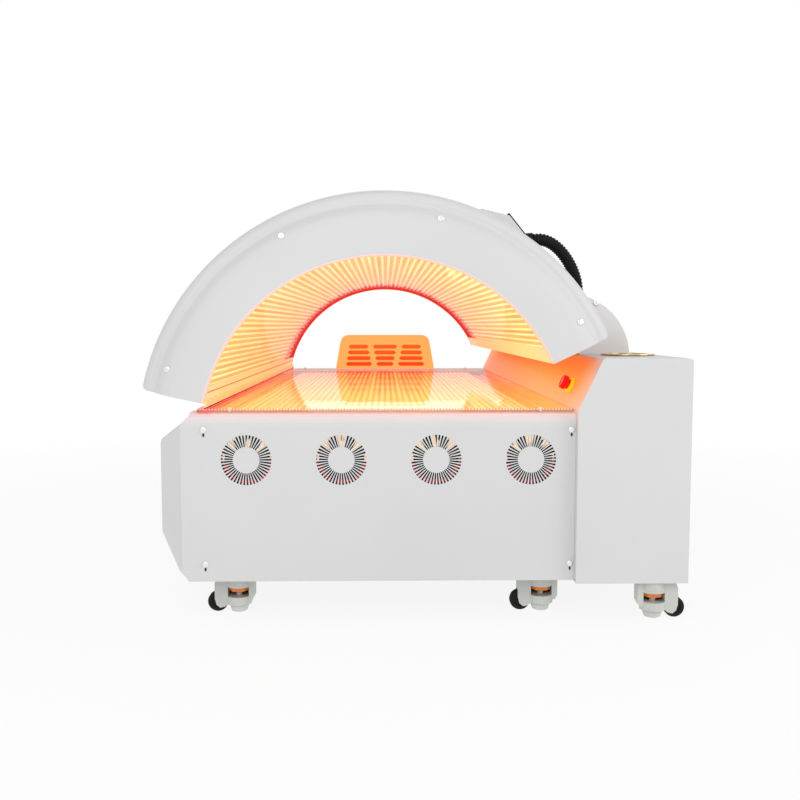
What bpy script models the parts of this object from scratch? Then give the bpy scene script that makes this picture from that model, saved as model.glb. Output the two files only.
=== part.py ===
"""Red light therapy bed: a lamp bed with an arched, hinged lamp canopy and a side cabinet.

X runs across the bed (cabinet at +X), Y along it (near end at -Y), Z up from the floor.
All sizes are in metres. The bed axis is X = 0 inside the ROOT empty, which centres the whole.
"""
import math

import bmesh
import bpy
from mathutils import Matrix, Vector

# Fits
GAP = 0.0003
WALL = 0.003

# Base
BASE_LENGTH = 2.20
BASE_BOTTOM = 0.100
BASE_LEFT = 0.580
PANEL_LEFT = 0.515
PANEL_TOP = 0.530
PANEL_T = 0.004
PANEL_BEND = 0.025
PANEL_FLANGE = 0.045
CORNER_CHAMFER = 0.065
SIDE_TOP_X = 0.482
SIDE_SHOULDER_Z = 0.455
SIDE_SKIRT_Z = 0.215
SIDE_FOOT_X = 0.533
SIDE_FLANGE_X = 0.495
SIDE_ROUND = 0.022
SIDE_TOP_FLANGE = 0.030
END_TOP_DROP = 0.030
END_TOP_IN = 0.027
END_FOOT_RISE = 0.026
END_FOOT_IN = 0.016

# Fan grilles
FAN_COUNT = 4
FAN_PITCH = 0.2395
FAN_MID_X = 0.0095
FAN_Z = 0.411
GRILLE_R = 0.0635
GRILLE_HUB_R = 0.0335
GRILLE_SLOTS = 45
GRILLE_SLOT_IN_W = 0.0028
GRILLE_SLOT_OUT_W = 0.0049
FAN_R = 0.0575
FAN_BLADES = 6
FAN_HUB_R = 0.020
FAN_DEPTH = 0.014
FAN_SETBACK = 0.008
CARRIER_T = 0.002
AXLE_R = 0.004
LOUVRE_ROWS = 4
LOUVRE_LENGTH = 0.120
LOUVRE_W = 0.007
LOUVRE_STEP = 0.020

# Bed surface
SHEET_T = 0.0095
SHEET_LEFT = 0.474
SHEET_RIGHT = 0.478
SHEET_INSET = 0.010
TRAY_T = 0.002
TRAY_DEPTH = 0.030
BED_RIBS = 30
RIB_W = 0.011
RIB_H = 0.008
SPINE_W = 0.090

# Chassis
PAN_T = 0.003
RAIL_W = 0.040
RAIL_H = 0.040

# Cabinet
CABINET_LEFT = 0.482
CABINET_RIGHT = 0.768
CABINET_BOTTOM = 0.097
CABINET_TOP = 0.667
CABINET_OVER = 0.025
CABINET_PANEL_T = 0.004
SLOPE_Z = 0.536
SLOPE_TOP_X = 0.5435
INNER_WALL_Z = 0.160
CABINET_ROUND = 0.010

# Cup holder in the cabinet top
CUP_X = 0.662
CUP_SETBACK = 0.2025
CUP_FLANGE_R = 0.0725
CUP_R = 0.060
CUP_DEPTH = 0.055
CUP_T = 0.002

# Emergency stop on the sloped wall
STOP_SETBACK = 0.180
STOP_Z = 0.5865
STOP_COLLAR_R = 0.021
STOP_COLLAR_H = 0.009
STOP_BARREL_R = 0.011
STOP_BARREL_L = 0.030
STOP_HEAD_R = 0.019
STOP_HEAD_H = 0.016
STOP_STEM_R = 0.006
STOP_TRAVEL = 0.005

# Head vent
VENT_W = 0.4755
VENT_TOP_W = 0.418
VENT_H = 0.162
VENT_T = 0.040
VENT_CORNER = 0.042
VENT_WALL = 0.003
VENT_ROWS = 4
VENT_SLOT_H = 0.0187
VENT_ROW_STEP = 0.0278
VENT_FIRST_Z = 0.022
VENT_BAR = 0.0195
VENT_EDGE = 0.0435
VENT_MIDDLE = 0.0425
VENT_MIDDLE_STEP = 0.0057

# Canopy
ARC_Z = 0.455
CAP_OVER = 0.020
CAP_COVER = 0.005
CAP_FLAT_W = 0.081
CAP_SET_BACK = 0.045
CAP_DEPTH = 0.070
CAP_LIP = 0.032
CAP_T = 0.004
CAP_CORNER = 0.018
CAP_END_DEG = 2.2
CAP_END_INSET_DEG = 0.1
CAP_SHOULDER = ((0.30, 0.12), (0.47, 0.34), (0.56, 0.47), (0.76, 0.53), (0.91, 0.68), (1.0, 1.0))
SHELL_R = 0.612
SHELL_T = 0.004
SHELL_UNDER_CAP = 0.020
ARC_RIGHT = 25.0
ARC_LEFT = 167.8
ARC_STEPS = 26
LINER_DEPTH = 0.140
LINER_T = 0.004
BOARD_SETBACK = 0.020
LAMP_T = 0.002
LAMP_RIBS = 45
LAMP_RIB_H = 0.008
LAMP_RIB_SHARE = 0.45
RAIL_T = 0.004
RAIL_LIP_DEG = 5.0
LINER_EDGE = RAIL_T + GAP

# Hinge
HINGE_DEPTH = 0.027
HINGE_DEG = 28.0
HINGE_NOTCH_R = 0.120
RAIL_NOTCH_R = 0.080
EAR_LENGTH = 0.090
EAR_SETBACK = 0.285
EAR_RISE = 0.09636
EAR_REACH = 0.17348
EAR_BACK = 0.0200
EAR_FOOT_IN = 0.0065
EAR_ARC_SHARE = 1.074
EAR_ARC_DROP = 0.010
EAR_SIDE_GAP = 0.0045
PIN_R = 0.010
HUB_R = 0.022
ARM_T = 0.012
ARM_SPAN_DEG = 13.0
ARM_CLEAR = 0.020

# Hose
HOSE_R = 0.017
HOSE_ROOT_R = 0.0145
HOSE_BORE_R = 0.0115
HOSE_RIB_PITCH = 0.0092
HOSE_GLAND_R = 0.020
HOSE_GLAND_H = 0.010
HOSE_GLAND_OUT = 0.0305
ENTRY_FROM_DEG = 72.0
ENTRY_WALL = 0.008
ENTRY_TOP_RISE = 0.06115
ENTRY_TOP_DEG = 66.539
ENTRY_EDGE_RISE = 0.07997
ENTRY_EDGE_DEG = 59.874
ENTRY_FOOT_RISE = 0.04831
ENTRY_FOOT_DEG = 50.759
ENTRY_WIDTH = 0.090
PLATE_T = 0.004
PLATE_OVER = 0.007
PLATE_W = 0.080
COLLAR_R = 0.021
COLLAR_L = 0.0190
COLLAR_SHARE = 0.75
COLLAR_RISE_DEG = 5.0
HOSE_LEAN_OUT = 0.020
HOSE_LEAN_DOWN = 0.030

# Casters
WHEEL_R = 0.0265
WHEEL_W = 0.022
WHEEL_TRAIL = 0.055
WHEEL_BORE_R = 0.0043
CASTER_AXLE_R = 0.004
SLEEVE_R = 0.033
SLEEVE_Z = 0.0205
WELL_CLEAR = 0.0025
CHEEK_T = 0.006
FORK_BACK = 0.042
FORK_OUT = 0.0615
FORK_DROP = 0.0015
WINDOW_Z = 0.042
WINDOW_TOP = 0.0665
THUMB_R = 0.026
THUMB_H = 0.010
THUMB_LOBES = 10
SPINDLE_R = 0.008
PAD_R = 0.0215
PAD_TOP_R = 0.0255
PAD_REST_Z = 0.001
PAD_H = 0.0185
STEM_R = 0.008
CASTER_LEFT_IN = 0.1303
CASTER_MID_IN = 0.0716
CASTER_RIGHT_IN = 0.0792
CASTER_END = 0.0825
CABINET_CASTER_END = 0.0400

# Electrics
SUPPLY_SIZE = (0.120, 0.340, 0.180)
SUPPLY_IN = 0.093
SUPPLY_END = 0.600
INLET_SIZE = (0.048, 0.030)
INLET_IN = 0.082
INLET_UP = 0.070
INLET_FLANGE = 0.006
INLET_DEPTH = 0.030

# Derived places
NEAR = -BASE_LENGTH / 2
CABINET_LENGTH = BASE_LENGTH + 2 * CABINET_OVER
CUP_Y = NEAR + CUP_SETBACK
STOP_Y = NEAR + STOP_SETBACK
LINER_R = SHELL_R - LINER_DEPTH
LAMP_R = LINER_R + BOARD_SETBACK
CAP_R = SHELL_R + CAP_OVER
CAP_IN_R = LINER_R - CAP_COVER
CAP_FLAT_R = CAP_IN_R + CAP_FLAT_W
HINGE_R = SHELL_R - HINGE_DEPTH
ARM_IN_R = LAMP_R + ARM_CLEAR
SHEET_TOP = PANEL_TOP + GAP + SHEET_T
HINGE_X = HINGE_R * math.cos(math.radians(HINGE_DEG))
HINGE_Z = ARC_Z + HINGE_R * math.sin(math.radians(HINGE_DEG))
EAR_MID_Y = NEAR + EAR_SETBACK + EAR_LENGTH / 2
EAR_TOP_Z = HINGE_Z + EAR_RISE
EAR_RIGHT_X = HINGE_X + EAR_REACH
EAR_LEFT_X = HINGE_X - EAR_BACK
EAR_FOOT_X = SLOPE_TOP_X + EAR_FOOT_IN
EAR_ARC_R = (EAR_TOP_Z - CABINET_TOP + EAR_ARC_DROP) * EAR_ARC_SHARE
HOSE_GLAND_X = HINGE_X + HOSE_GLAND_OUT
SUPPLY_AT = (CABINET_LEFT + SUPPLY_IN, BASE_LENGTH / 2 - SUPPLY_END)
INLET_AT = (CABINET_LEFT - INLET_IN, BASE_BOTTOM + INLET_UP)
ARC_STEP_DEG = (ARC_LEFT - ARC_RIGHT) / ARC_STEPS
SHELL_IN_R = SHELL_R - SHELL_T
CAP_CORNER_TURN = math.asin(CAP_CORNER / (CAP_R - CAP_CORNER))
LEFT_REACH = (CAP_R - CAP_CORNER) * math.cos(math.pi - math.radians(ARC_LEFT) + CAP_CORNER_TURN) + CAP_CORNER
CENTRE_X = (LEFT_REACH - CABINET_RIGHT) / 2
SLOPE_DIR = Vector((SLOPE_TOP_X - CABINET_LEFT, 0, CABINET_TOP - SLOPE_Z)).normalized()
SLOPE_OUT = Vector((-SLOPE_DIR.z, 0, SLOPE_DIR.x))
HOSE_Y = EAR_MID_Y

FINISHES = {
    "white_shell": ((0.72, 0.72, 0.72), 0.35, 0.0),
    "white_moulding": ((0.72, 0.72, 0.72), 0.35, 0.0),
    "frame_steel": ((0.30, 0.31, 0.32), 0.45, 0.8),
    "clear_sheet": ((0.95, 0.90, 0.85), 0.05, 0.0),
    "lamp_board": ((1.00, 0.62, 0.25), 0.40, 0.0),
    "orange_vent": ((0.95, 0.45, 0.12), 0.45, 0.0),
    "polished_steel": ((0.80, 0.80, 0.80), 0.12, 1.0),
    "stop_red": ((0.80, 0.02, 0.02), 0.30, 0.0),
    "stop_yellow": ((0.95, 0.70, 0.02), 0.35, 0.0),
    "black_plastic": ((0.012, 0.012, 0.012), 0.45, 0.0),
    "caster_grey": ((0.62, 0.65, 0.60), 0.45, 0.0),
    "thumb_orange": ((0.85, 0.28, 0.03), 0.45, 0.0),
    "tyre_black": ((0.015, 0.015, 0.015), 0.60, 0.0),
}


def clear_scene():
    """Empty the scene and make the two collections and the root empty."""
    for obj in list(bpy.data.objects):
        bpy.data.objects.remove(obj, do_unlink=True)
    groups = {}
    for name in ("red_light_therapy_bed", "cutters"):
        group = bpy.data.collections.new(name)
        bpy.context.scene.collection.children.link(group)
        groups[name] = group
    root = bpy.data.objects.new("bed_origin", None)
    root.location.x = CENTRE_X
    groups["red_light_therapy_bed"].objects.link(root)
    return groups["red_light_therapy_bed"], groups["cutters"], root


PARTS, CUTTERS, ROOT = clear_scene()


def finish(name):
    """Return the Principled material of a finish, made once."""
    material = bpy.data.materials.get(name)
    if material is None:
        colour, rough, metal = FINISHES[name]
        material = bpy.data.materials.new(name)
        material.use_nodes = True
        shader = material.node_tree.nodes["Principled BSDF"]
        shader.inputs["Base Color"].default_value = (*colour, 1.0)
        shader.inputs["Roughness"].default_value = rough
        shader.inputs["Metallic"].default_value = metal
    return material


def polar(radius, degrees):
    """A point of the canopy's cross-section at a radius and angle about the arc centre."""
    turn = math.radians(degrees)
    return (radius * math.cos(turn), ARC_Z + radius * math.sin(turn))


ENTRY_TOP = polar(SHELL_R + ENTRY_TOP_RISE, ENTRY_TOP_DEG)
ENTRY_EDGE = polar(SHELL_R + ENTRY_EDGE_RISE, ENTRY_EDGE_DEG)
ENTRY_FOOT = polar(SHELL_R + ENTRY_FOOT_RISE, ENTRY_FOOT_DEG)


def bore_radius(radius, sides):
    """The radius of a many-sided bore in which a rod can turn."""
    return (radius + GAP) / math.cos(math.pi / sides)


def arc(centre, radius, first, last, steps):
    """Points along a circular arc, with its angles in degrees."""
    points = []
    for i in range(steps + 1):
        turn = math.radians(first + (last - first) * i / steps)
        points.append((centre[0] + radius * math.cos(turn), centre[1] + radius * math.sin(turn)))
    return points


def rounded(points, radius, steps=3):
    """An open polyline whose inner corners are replaced by arcs of one radius."""
    result = [points[0]]
    for before, here, after in zip(points, points[1:], points[2:]):
        here_v = Vector(here)
        back = Vector(before) - here_v
        ahead = Vector(after) - here_v
        half = back.angle(ahead) / 2
        reach = min(radius / math.tan(half), back.length * 0.45, ahead.length * 0.45)
        start = here_v + back.normalized() * reach
        end = here_v + ahead.normalized() * reach
        for i in range(steps + 1):
            t = i / steps
            point = start * (1 - t) ** 2 + here_v * 2 * t * (1 - t) + end * t ** 2
            result.append(tuple(point))
    result.append(points[-1])
    return result


def circle(radius, sides, centre=(0.0, 0.0)):
    """A closed ring of points."""
    return arc(centre, radius, 0.0, 360.0 * (sides - 1) / sides, sides - 1)


def clean_mesh(mesh):
    """Weld a mesh and point its faces outwards."""
    bm = bmesh.new()
    bm.from_mesh(mesh)
    bmesh.ops.remove_doubles(bm, verts=bm.verts, dist=0.00002)
    bmesh.ops.recalc_face_normals(bm, faces=bm.faces)
    bm.to_mesh(mesh)
    bm.free()


def place(name, mesh, look, parent=None, matrix=None):
    """Make a named part from a mesh, under the root or a given empty."""
    obj = bpy.data.objects.new(name, mesh)
    PARTS.objects.link(obj)
    mesh.materials.clear()
    mesh.materials.append(finish(look))
    obj.parent = parent or ROOT
    if matrix is not None:
        obj.matrix_local = matrix
    return obj


def axis_empty(name, location, parent=None):
    """An empty on a joint's axis, which carries the moving piece."""
    empty = bpy.data.objects.new(name, None)
    PARTS.objects.link(empty)
    empty.parent = parent or ROOT
    empty.location = location
    return empty


def prism_mesh(outlines, depth):
    """A flat outline with holes, filled and extruded along local Z, as a welded mesh."""
    curve = bpy.data.curves.new("outline", "CURVE")
    curve.dimensions = "2D"
    curve.fill_mode = "BOTH"
    curve.extrude = depth / 2
    for points in outlines:
        spline = curve.splines.new("POLY")
        spline.points.add(len(points) - 1)
        for knot, point in zip(spline.points, points):
            knot.co = (point[0], point[1], 0.0, 1.0)
        spline.use_cyclic_u = True
    holder = bpy.data.objects.new("outline", curve)
    bpy.context.scene.collection.objects.link(holder)
    mesh = bpy.data.meshes.new_from_object(holder.evaluated_get(bpy.context.evaluated_depsgraph_get()))
    bpy.data.objects.remove(holder, do_unlink=True)
    bpy.data.curves.remove(curve)
    clean_mesh(mesh)
    return mesh


def along_y(outlines, near, far):
    """A cross-section of (x, z) outlines carried along Y from near to far."""
    mesh = prism_mesh(outlines, far - near)
    mesh.transform(Matrix.Translation((0, (near + far) / 2, 0)) @ Matrix.Rotation(math.pi / 2, 4, "X"))
    return mesh


def along_x(outlines, left, right):
    """A cross-section of (y, z) outlines carried along X from left to right."""
    mesh = prism_mesh(outlines, right - left)
    turn = Matrix(((0, 0, 1, 0), (1, 0, 0, 0), (0, 1, 0, 0), (0, 0, 0, 1)))
    mesh.transform(Matrix.Translation(((left + right) / 2, 0, 0)) @ turn)
    return mesh


def along_z(outlines, low, high):
    """A plan of (x, y) outlines carried along Z from low to high."""
    mesh = prism_mesh(outlines, high - low)
    mesh.transform(Matrix.Translation((0, 0, (low + high) / 2)))
    return mesh


def box_mesh(low, high):
    """A box between two corners."""
    bm = bmesh.new()
    size = Vector(high) - Vector(low)
    middle = (Vector(high) + Vector(low)) / 2
    bmesh.ops.create_cube(bm, size=1.0, matrix=Matrix.Translation(middle) @ Matrix.Diagonal((*size, 1.0)))
    mesh = bpy.data.meshes.new("box")
    bm.to_mesh(mesh)
    bm.free()
    return mesh


def rod_mesh(start, end, radius, sides=12):
    """A round rod between two points."""
    start = Vector(start)
    axis = Vector(end) - start
    turn = axis.to_track_quat("Z", "Y").to_matrix().to_4x4()
    bm = bmesh.new()
    bmesh.ops.create_cone(
        bm, cap_ends=True, segments=sides, radius1=radius, radius2=radius, depth=axis.length,
        matrix=Matrix.Translation(start + axis / 2) @ turn)
    mesh = bpy.data.meshes.new("rod")
    bm.to_mesh(mesh)
    bm.free()
    return mesh


def turned_mesh(profile, sides, start_deg=0.0):
    """A closed (radius, height) profile turned about Z with a Screw modifier, as a mesh."""
    mesh = bpy.data.meshes.new("profile")
    turn = math.radians(start_deg)
    verts = [(r * math.cos(turn), r * math.sin(turn), z) for r, z in profile]
    edges = [(i, (i + 1) % len(profile)) for i in range(len(profile))]
    if profile[0][0] == 0.0:
        edges.pop()
    mesh.from_pydata(verts, edges, [])
    holder = bpy.data.objects.new("profile", mesh)
    bpy.context.scene.collection.objects.link(holder)
    screw = holder.modifiers.new("turn", "SCREW")
    screw.steps = sides
    screw.render_steps = sides
    screw.use_merge_vertices = True
    screw.merge_threshold = 0.00001
    result = bpy.data.meshes.new_from_object(holder.evaluated_get(bpy.context.evaluated_depsgraph_get()))
    bpy.data.objects.remove(holder, do_unlink=True)
    clean_mesh(result)
    return result


def swept_mesh(profile, first, last, steps, sign):
    """A closed (radius, depth) profile swept round the canopy's arc; depth runs inwards from an end."""
    bm = bmesh.new()
    turn = math.radians(first)
    verts = []
    for radius, depth in profile:
        y = sign * (BASE_LENGTH / 2 - depth)
        verts.append(bm.verts.new((radius * math.cos(turn), y, ARC_Z + radius * math.sin(turn))))
    bm.faces.new(verts)
    bmesh.ops.spin(
        bm, geom=bm.verts[:] + bm.edges[:] + bm.faces[:], cent=(0, 0, ARC_Z), axis=(0, -1, 0),
        dvec=(0, 0, 0), angle=math.radians(last - first), steps=steps)
    bmesh.ops.remove_doubles(bm, verts=bm.verts, dist=0.00002)
    bmesh.ops.recalc_face_normals(bm, faces=bm.faces)
    mesh = bpy.data.meshes.new("sweep")
    bm.to_mesh(mesh)
    bm.free()
    return mesh


def tool(mesh, parent=None):
    """A hidden cutter, or a shape to be joined, made from a mesh."""
    obj = bpy.data.objects.new("tool", mesh)
    CUTTERS.objects.link(obj)
    obj.parent = parent or ROOT
    obj.hide_render = True
    obj.display_type = "WIRE"
    return obj


def combine(obj, mesh, operation, parent=None):
    """Add a Boolean of a tool mesh to a part."""
    step = obj.modifiers.new(operation.lower(), "BOOLEAN")
    step.operation = operation
    step.object = tool(mesh, parent)
    step.solver = "EXACT"


def cut(obj, mesh, parent=None):
    """Take a shape out of a part."""
    combine(obj, mesh, "DIFFERENCE", parent)


def join(obj, mesh, parent=None):
    """Fuse a shape to a part."""
    combine(obj, mesh, "UNION", parent)


def smooth(obj, degrees=35.0):
    """Shade a part smooth, with its sharp edges kept."""
    obj.data.shade_smooth()
    obj.data.set_sharp_from_angle(angle=math.radians(degrees))


def fan_xs():
    """The fan axes across the near panel."""
    first = FAN_MID_X - FAN_PITCH * (FAN_COUNT - 1) / 2
    return [first + FAN_PITCH * i for i in range(FAN_COUNT)]


def panel_outline():
    """The flat part of an end panel, which follows the drawn-in end of the side shell."""
    top = PANEL_TOP - PANEL_BEND
    right = CABINET_LEFT - GAP
    tab = -PANEL_LEFT + SIDE_ROUND + WALL
    tab_top = PANEL_TOP - END_TOP_DROP * (1 - (tab + PANEL_LEFT) / END_TOP_IN)
    return [
        (right, BASE_BOTTOM), (-PANEL_LEFT + END_FOOT_IN, BASE_BOTTOM),
        (-PANEL_LEFT, BASE_BOTTOM + END_FOOT_RISE), (-PANEL_LEFT, PANEL_TOP - END_TOP_DROP),
        (tab, tab_top), (tab, top), (right, top)]


def slot_outline(x, z, turn, inner, outer, in_width, out_width):
    """A slot that points away from a centre, with its own width at each end."""
    along = Vector((math.cos(turn), math.sin(turn)))
    side = Vector((-along.y, along.x)) / 2
    centre = Vector((x, z))
    corners = [along * inner - side * in_width, along * outer - side * out_width]
    corners += [along * outer + side * out_width, along * inner + side * in_width]
    return [tuple(centre + c) for c in corners]


def grille_slots():
    """Every slot of the four round grilles."""
    slots = []
    for fan, x in enumerate(fan_xs()):
        for i in range(GRILLE_SLOTS):
            turn = 2 * math.pi * (i + 0.1 + 0.5 * fan / FAN_COUNT) / GRILLE_SLOTS
            slot = slot_outline(x, FAN_Z, turn, GRILLE_HUB_R, GRILLE_R, GRILLE_SLOT_IN_W, GRILLE_SLOT_OUT_W)
            slots.append(slot)
    return slots


def louvre_slots():
    """Rows of level slots in the far panel, in line with the fans."""
    slots = []
    for x in fan_xs():
        for row in range(LOUVRE_ROWS):
            z = FAN_Z + (row - (LOUVRE_ROWS - 1) / 2) * LOUVRE_STEP
            slots.append(slot_outline(x, z, 0.0, -LOUVRE_LENGTH / 2, LOUVRE_LENGTH / 2, LOUVRE_W, LOUVRE_W))
    return slots


def end_panel(name, slots, sign):
    """An end panel: a slotted plate whose top is bent back into a flange."""
    outer = sign * BASE_LENGTH / 2
    inner = outer - sign * PANEL_T
    plate = along_y([panel_outline()] + slots, min(outer, inner), max(outer, inner))
    obj = place(name, plate, "white_shell")
    centre = (BASE_LENGTH / 2 - PANEL_BEND, PANEL_TOP - PANEL_BEND)
    bend = arc(centre, PANEL_BEND, 0.0, 90.0, 5)
    bend.append((BASE_LENGTH / 2 - PANEL_BEND - PANEL_FLANGE, PANEL_TOP))
    bend.append((BASE_LENGTH / 2 - PANEL_BEND - PANEL_FLANGE, PANEL_TOP - PANEL_T))
    bend += arc(centre, PANEL_BEND - PANEL_T, 90.0, 0.0, 5)
    outline = [(sign * y, z) for y, z in bend]
    left = -PANEL_LEFT + SIDE_ROUND
    join(obj, along_x([outline], left, CABINET_LEFT - GAP))
    return obj


def side_shell():
    """The left side shell, drawn in at both ends to meet the end panels."""
    lip = -SIDE_TOP_X + SIDE_TOP_FLANGE
    full = [
        (lip, PANEL_TOP), (-SIDE_TOP_X, PANEL_TOP), (-BASE_LEFT, SIDE_SHOULDER_Z),
        (-BASE_LEFT, SIDE_SKIRT_Z), (-SIDE_FOOT_X, BASE_BOTTOM), (-SIDE_FLANGE_X, BASE_BOTTOM)]
    drawn_in = [
        (lip, PANEL_TOP), (-PANEL_LEFT + END_TOP_IN, PANEL_TOP), (-PANEL_LEFT, PANEL_TOP - END_TOP_DROP),
        (-PANEL_LEFT, BASE_BOTTOM + END_FOOT_RISE), (-PANEL_LEFT + END_FOOT_IN, BASE_BOTTOM),
        (-SIDE_FLANGE_X, BASE_BOTTOM)]
    end = BASE_LENGTH / 2 - PANEL_T - GAP
    straight = end - CORNER_CHAMFER
    rows = []
    for y, section in ((-end, drawn_in), (-straight, full), (straight, full), (end, drawn_in)):
        rows.append([(x, y, z) for x, z in rounded(section, SIDE_ROUND)])
    bm = bmesh.new()
    grid = [[bm.verts.new(point) for point in row] for row in rows]
    for row, following in zip(grid, grid[1:]):
        for i in range(len(row) - 1):
            bm.faces.new((row[i], row[i + 1], following[i + 1], following[i]))
    mesh = bpy.data.meshes.new("side")
    bm.to_mesh(mesh)
    bm.free()
    obj = place("base_side_shell", mesh, "white_shell")
    thick = obj.modifiers.new("wall", "SOLIDIFY")
    thick.thickness = WALL
    thick.offset = 1.0
    thick.use_even_offset = True
    left = -PANEL_LEFT + SIDE_ROUND - GAP
    reach = BASE_LENGTH / 2 - PANEL_BEND - PANEL_FLANGE - GAP
    below = PANEL_TOP - PANEL_BEND - GAP
    for sign in (-1, 1):
        ends = sorted((sign * reach, sign * BASE_LENGTH / 2))
        cut(obj, box_mesh((left, ends[0], below), (left + SIDE_TOP_FLANGE * 2, ends[1], PANEL_TOP + WALL)))
    return obj


def offset_path(points, distance):
    """An open polyline moved to its left by a distance, with mitred corners."""
    vectors = [Vector(point) for point in points]
    moved = []
    for i, here in enumerate(vectors):
        before = (here - vectors[i - 1]).normalized() if i else None
        after = (vectors[i + 1] - here).normalized() if i + 1 < len(vectors) else None
        first = before or after
        second = after or before
        left_first = Vector((-first.y, first.x))
        left_second = Vector((-second.y, second.x))
        middle = (left_first + left_second).normalized()
        moved.append(tuple(here + middle * distance / max(middle.dot(left_first), 0.3)))
    return moved


def walled(path, thickness):
    """A closed outline: an open path and its copy moved to the left."""
    return path + offset_path(path, thickness)[::-1]


def both_ends(near_name, far_name):
    """The sign of Y and the name of a piece that stands at each end."""
    return ((-1, near_name), (1, far_name))


def ring_sector(centre, inner, outer, first, last, steps):
    """A closed part of a ring."""
    return arc(centre, outer, first, last, steps) + arc(centre, inner, last, first, steps)


def caster_places():
    """Each caster's number, place and the side its wheel trails to."""
    base_y = BASE_LENGTH / 2 - CASTER_END
    cabinet_y = CABINET_LENGTH / 2 - CABINET_CASTER_END
    row = [
        (CASTER_LEFT_IN - PANEL_LEFT, base_y, -1), (CABINET_LEFT - CASTER_MID_IN, base_y, -1),
        (CABINET_RIGHT - CASTER_RIGHT_IN, cabinet_y, 1)]
    found = []
    for sign in (-1, 1):
        for x, y, side in row:
            found.append((len(found) + 1, Vector((x, sign * y, 0)), side))
    return found


def chassis():
    """The floor pan with rails, bored for the caster stems."""
    left = -SIDE_FLANGE_X + GAP
    right = CABINET_RIGHT - WALL - GAP
    end = BASE_LENGTH / 2 - PANEL_T - GAP
    cabinet_end = CABINET_LENGTH / 2 - CABINET_PANEL_T - GAP
    outline = [
        (left, -end), (CABINET_LEFT, -end), (CABINET_LEFT, -cabinet_end), (right, -cabinet_end),
        (right, cabinet_end), (CABINET_LEFT, cabinet_end), (CABINET_LEFT, end), (left, end)]
    obj = place("chassis", along_z([outline], BASE_BOTTOM, BASE_BOTTOM + PAN_T), "frame_steel")
    for _, at, _ in caster_places():
        if at.y < 0:
            reach = abs(at.y) + RAIL_W / 2
            low = (at.x - RAIL_W / 2, -reach, BASE_BOTTOM + PAN_T / 2)
            high = (at.x + RAIL_W / 2, reach, BASE_BOTTOM + PAN_T + RAIL_H)
            join(obj, box_mesh(low, high))
    for _, at, _ in caster_places():
        top = BASE_BOTTOM + PAN_T + RAIL_H + WALL
        cut(obj, rod_mesh((at.x, at.y, BASE_BOTTOM - WALL), (at.x, at.y, top), bore_radius(STEM_R, 8), 8))
    return obj


def bed_spine():
    """A box beam along the bed that carries the lamp tray."""
    low = BASE_BOTTOM + PAN_T + GAP
    high = PANEL_TOP - TRAY_DEPTH - GAP
    half = SPINE_W / 2
    outer = [(-half, low), (half, low), (half, high), (-half, high)]
    inside = half - WALL
    inner = [(-inside, low + WALL), (inside, low + WALL), (inside, high - WALL), (-inside, high - WALL)]
    reach = BASE_LENGTH / 2 - 2 * (PANEL_BEND + PANEL_FLANGE)
    place("bed_spine", along_y([outer, inner], -reach, reach), "frame_steel")


def bed_lamp_tray():
    """The lamp tray under the bed sheet, with a rib for each lamp row."""
    low = PANEL_TOP - TRAY_DEPTH
    plate = low + TRAY_T
    left = -SIDE_TOP_X + SIDE_TOP_FLANGE + GAP
    right = CABINET_LEFT - 2 * GAP
    outline = [(left, PANEL_TOP), (left, low), (right, low), (right, PANEL_TOP), (right - TRAY_T, PANEL_TOP)]
    outline.append((right - TRAY_T, plate))
    pitch = (right - left - 2 * TRAY_T) / BED_RIBS
    for i in reversed(range(BED_RIBS)):
        middle = left + TRAY_T + pitch * (i + 0.5)
        right_x = middle + RIB_W / 2
        left_x = middle - RIB_W / 2
        outline += [(right_x, plate), (right_x, plate + RIB_H), (left_x, plate + RIB_H), (left_x, plate)]
    outline += [(left + TRAY_T, plate), (left + TRAY_T, PANEL_TOP)]
    reach = BASE_LENGTH / 2 - PANEL_BEND - PANEL_FLANGE - GAP
    place("bed_lamp_tray", along_y([outline], -reach, reach), "lamp_board")


def bed_acrylic():
    """The clear sheet that is lain on."""
    reach = BASE_LENGTH / 2 - SHEET_INSET
    low = PANEL_TOP + GAP
    sheet = box_mesh((-SHEET_LEFT, -reach, low), (SHEET_RIGHT, reach, SHEET_TOP))
    obj = place("bed_acrylic", sheet, "clear_sheet")
    edge = obj.modifiers.new("edge", "BEVEL")
    edge.width = SHEET_T / 8
    edge.segments = 1


def vent_width(height):
    """The half width of the head vent at a height above its foot."""
    return (VENT_W + (VENT_TOP_W - VENT_W) * height / VENT_H) / 2


def head_vent():
    """A slotted, hollow air outlet at the head end, open to the sheet below it."""
    foot = SHEET_TOP + GAP
    back = BASE_LENGTH / 2 - SHEET_INSET - WALL

    def hood(inset, low):
        half_low = vent_width(0) - inset
        half_top = vent_width(VENT_H) - inset
        top = foot + VENT_H - inset
        edge = [(half_low, low), (half_top, top), (-half_top, top), (-half_low, low)]
        return rounded(edge, VENT_CORNER - inset, 4)

    obj = place("head_vent", along_y([hood(0, foot)], back - VENT_T, back), "orange_vent")
    cut(obj, along_y([hood(VENT_WALL, foot - WALL)], back - VENT_T + VENT_WALL, back - VENT_WALL))
    slots = []
    for row in range(VENT_ROWS):
        height = VENT_FIRST_Z + row * VENT_ROW_STEP
        middle = VENT_MIDDLE + VENT_MIDDLE_STEP * row
        reach = vent_width(height) - VENT_EDGE
        for first, last in ((-reach, -middle - VENT_BAR), (-middle, middle), (middle + VENT_BAR, reach)):
            half = VENT_SLOT_H / 2
            right = arc((last - half, foot + height), half, -90, 90, 2)
            left = arc((first + half, foot + height), half, 90, 270, 2)
            slots.append(right + left)
    cut(obj, along_y(slots, back - VENT_T - WALL, back - VENT_T + VENT_WALL * 2))


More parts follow.
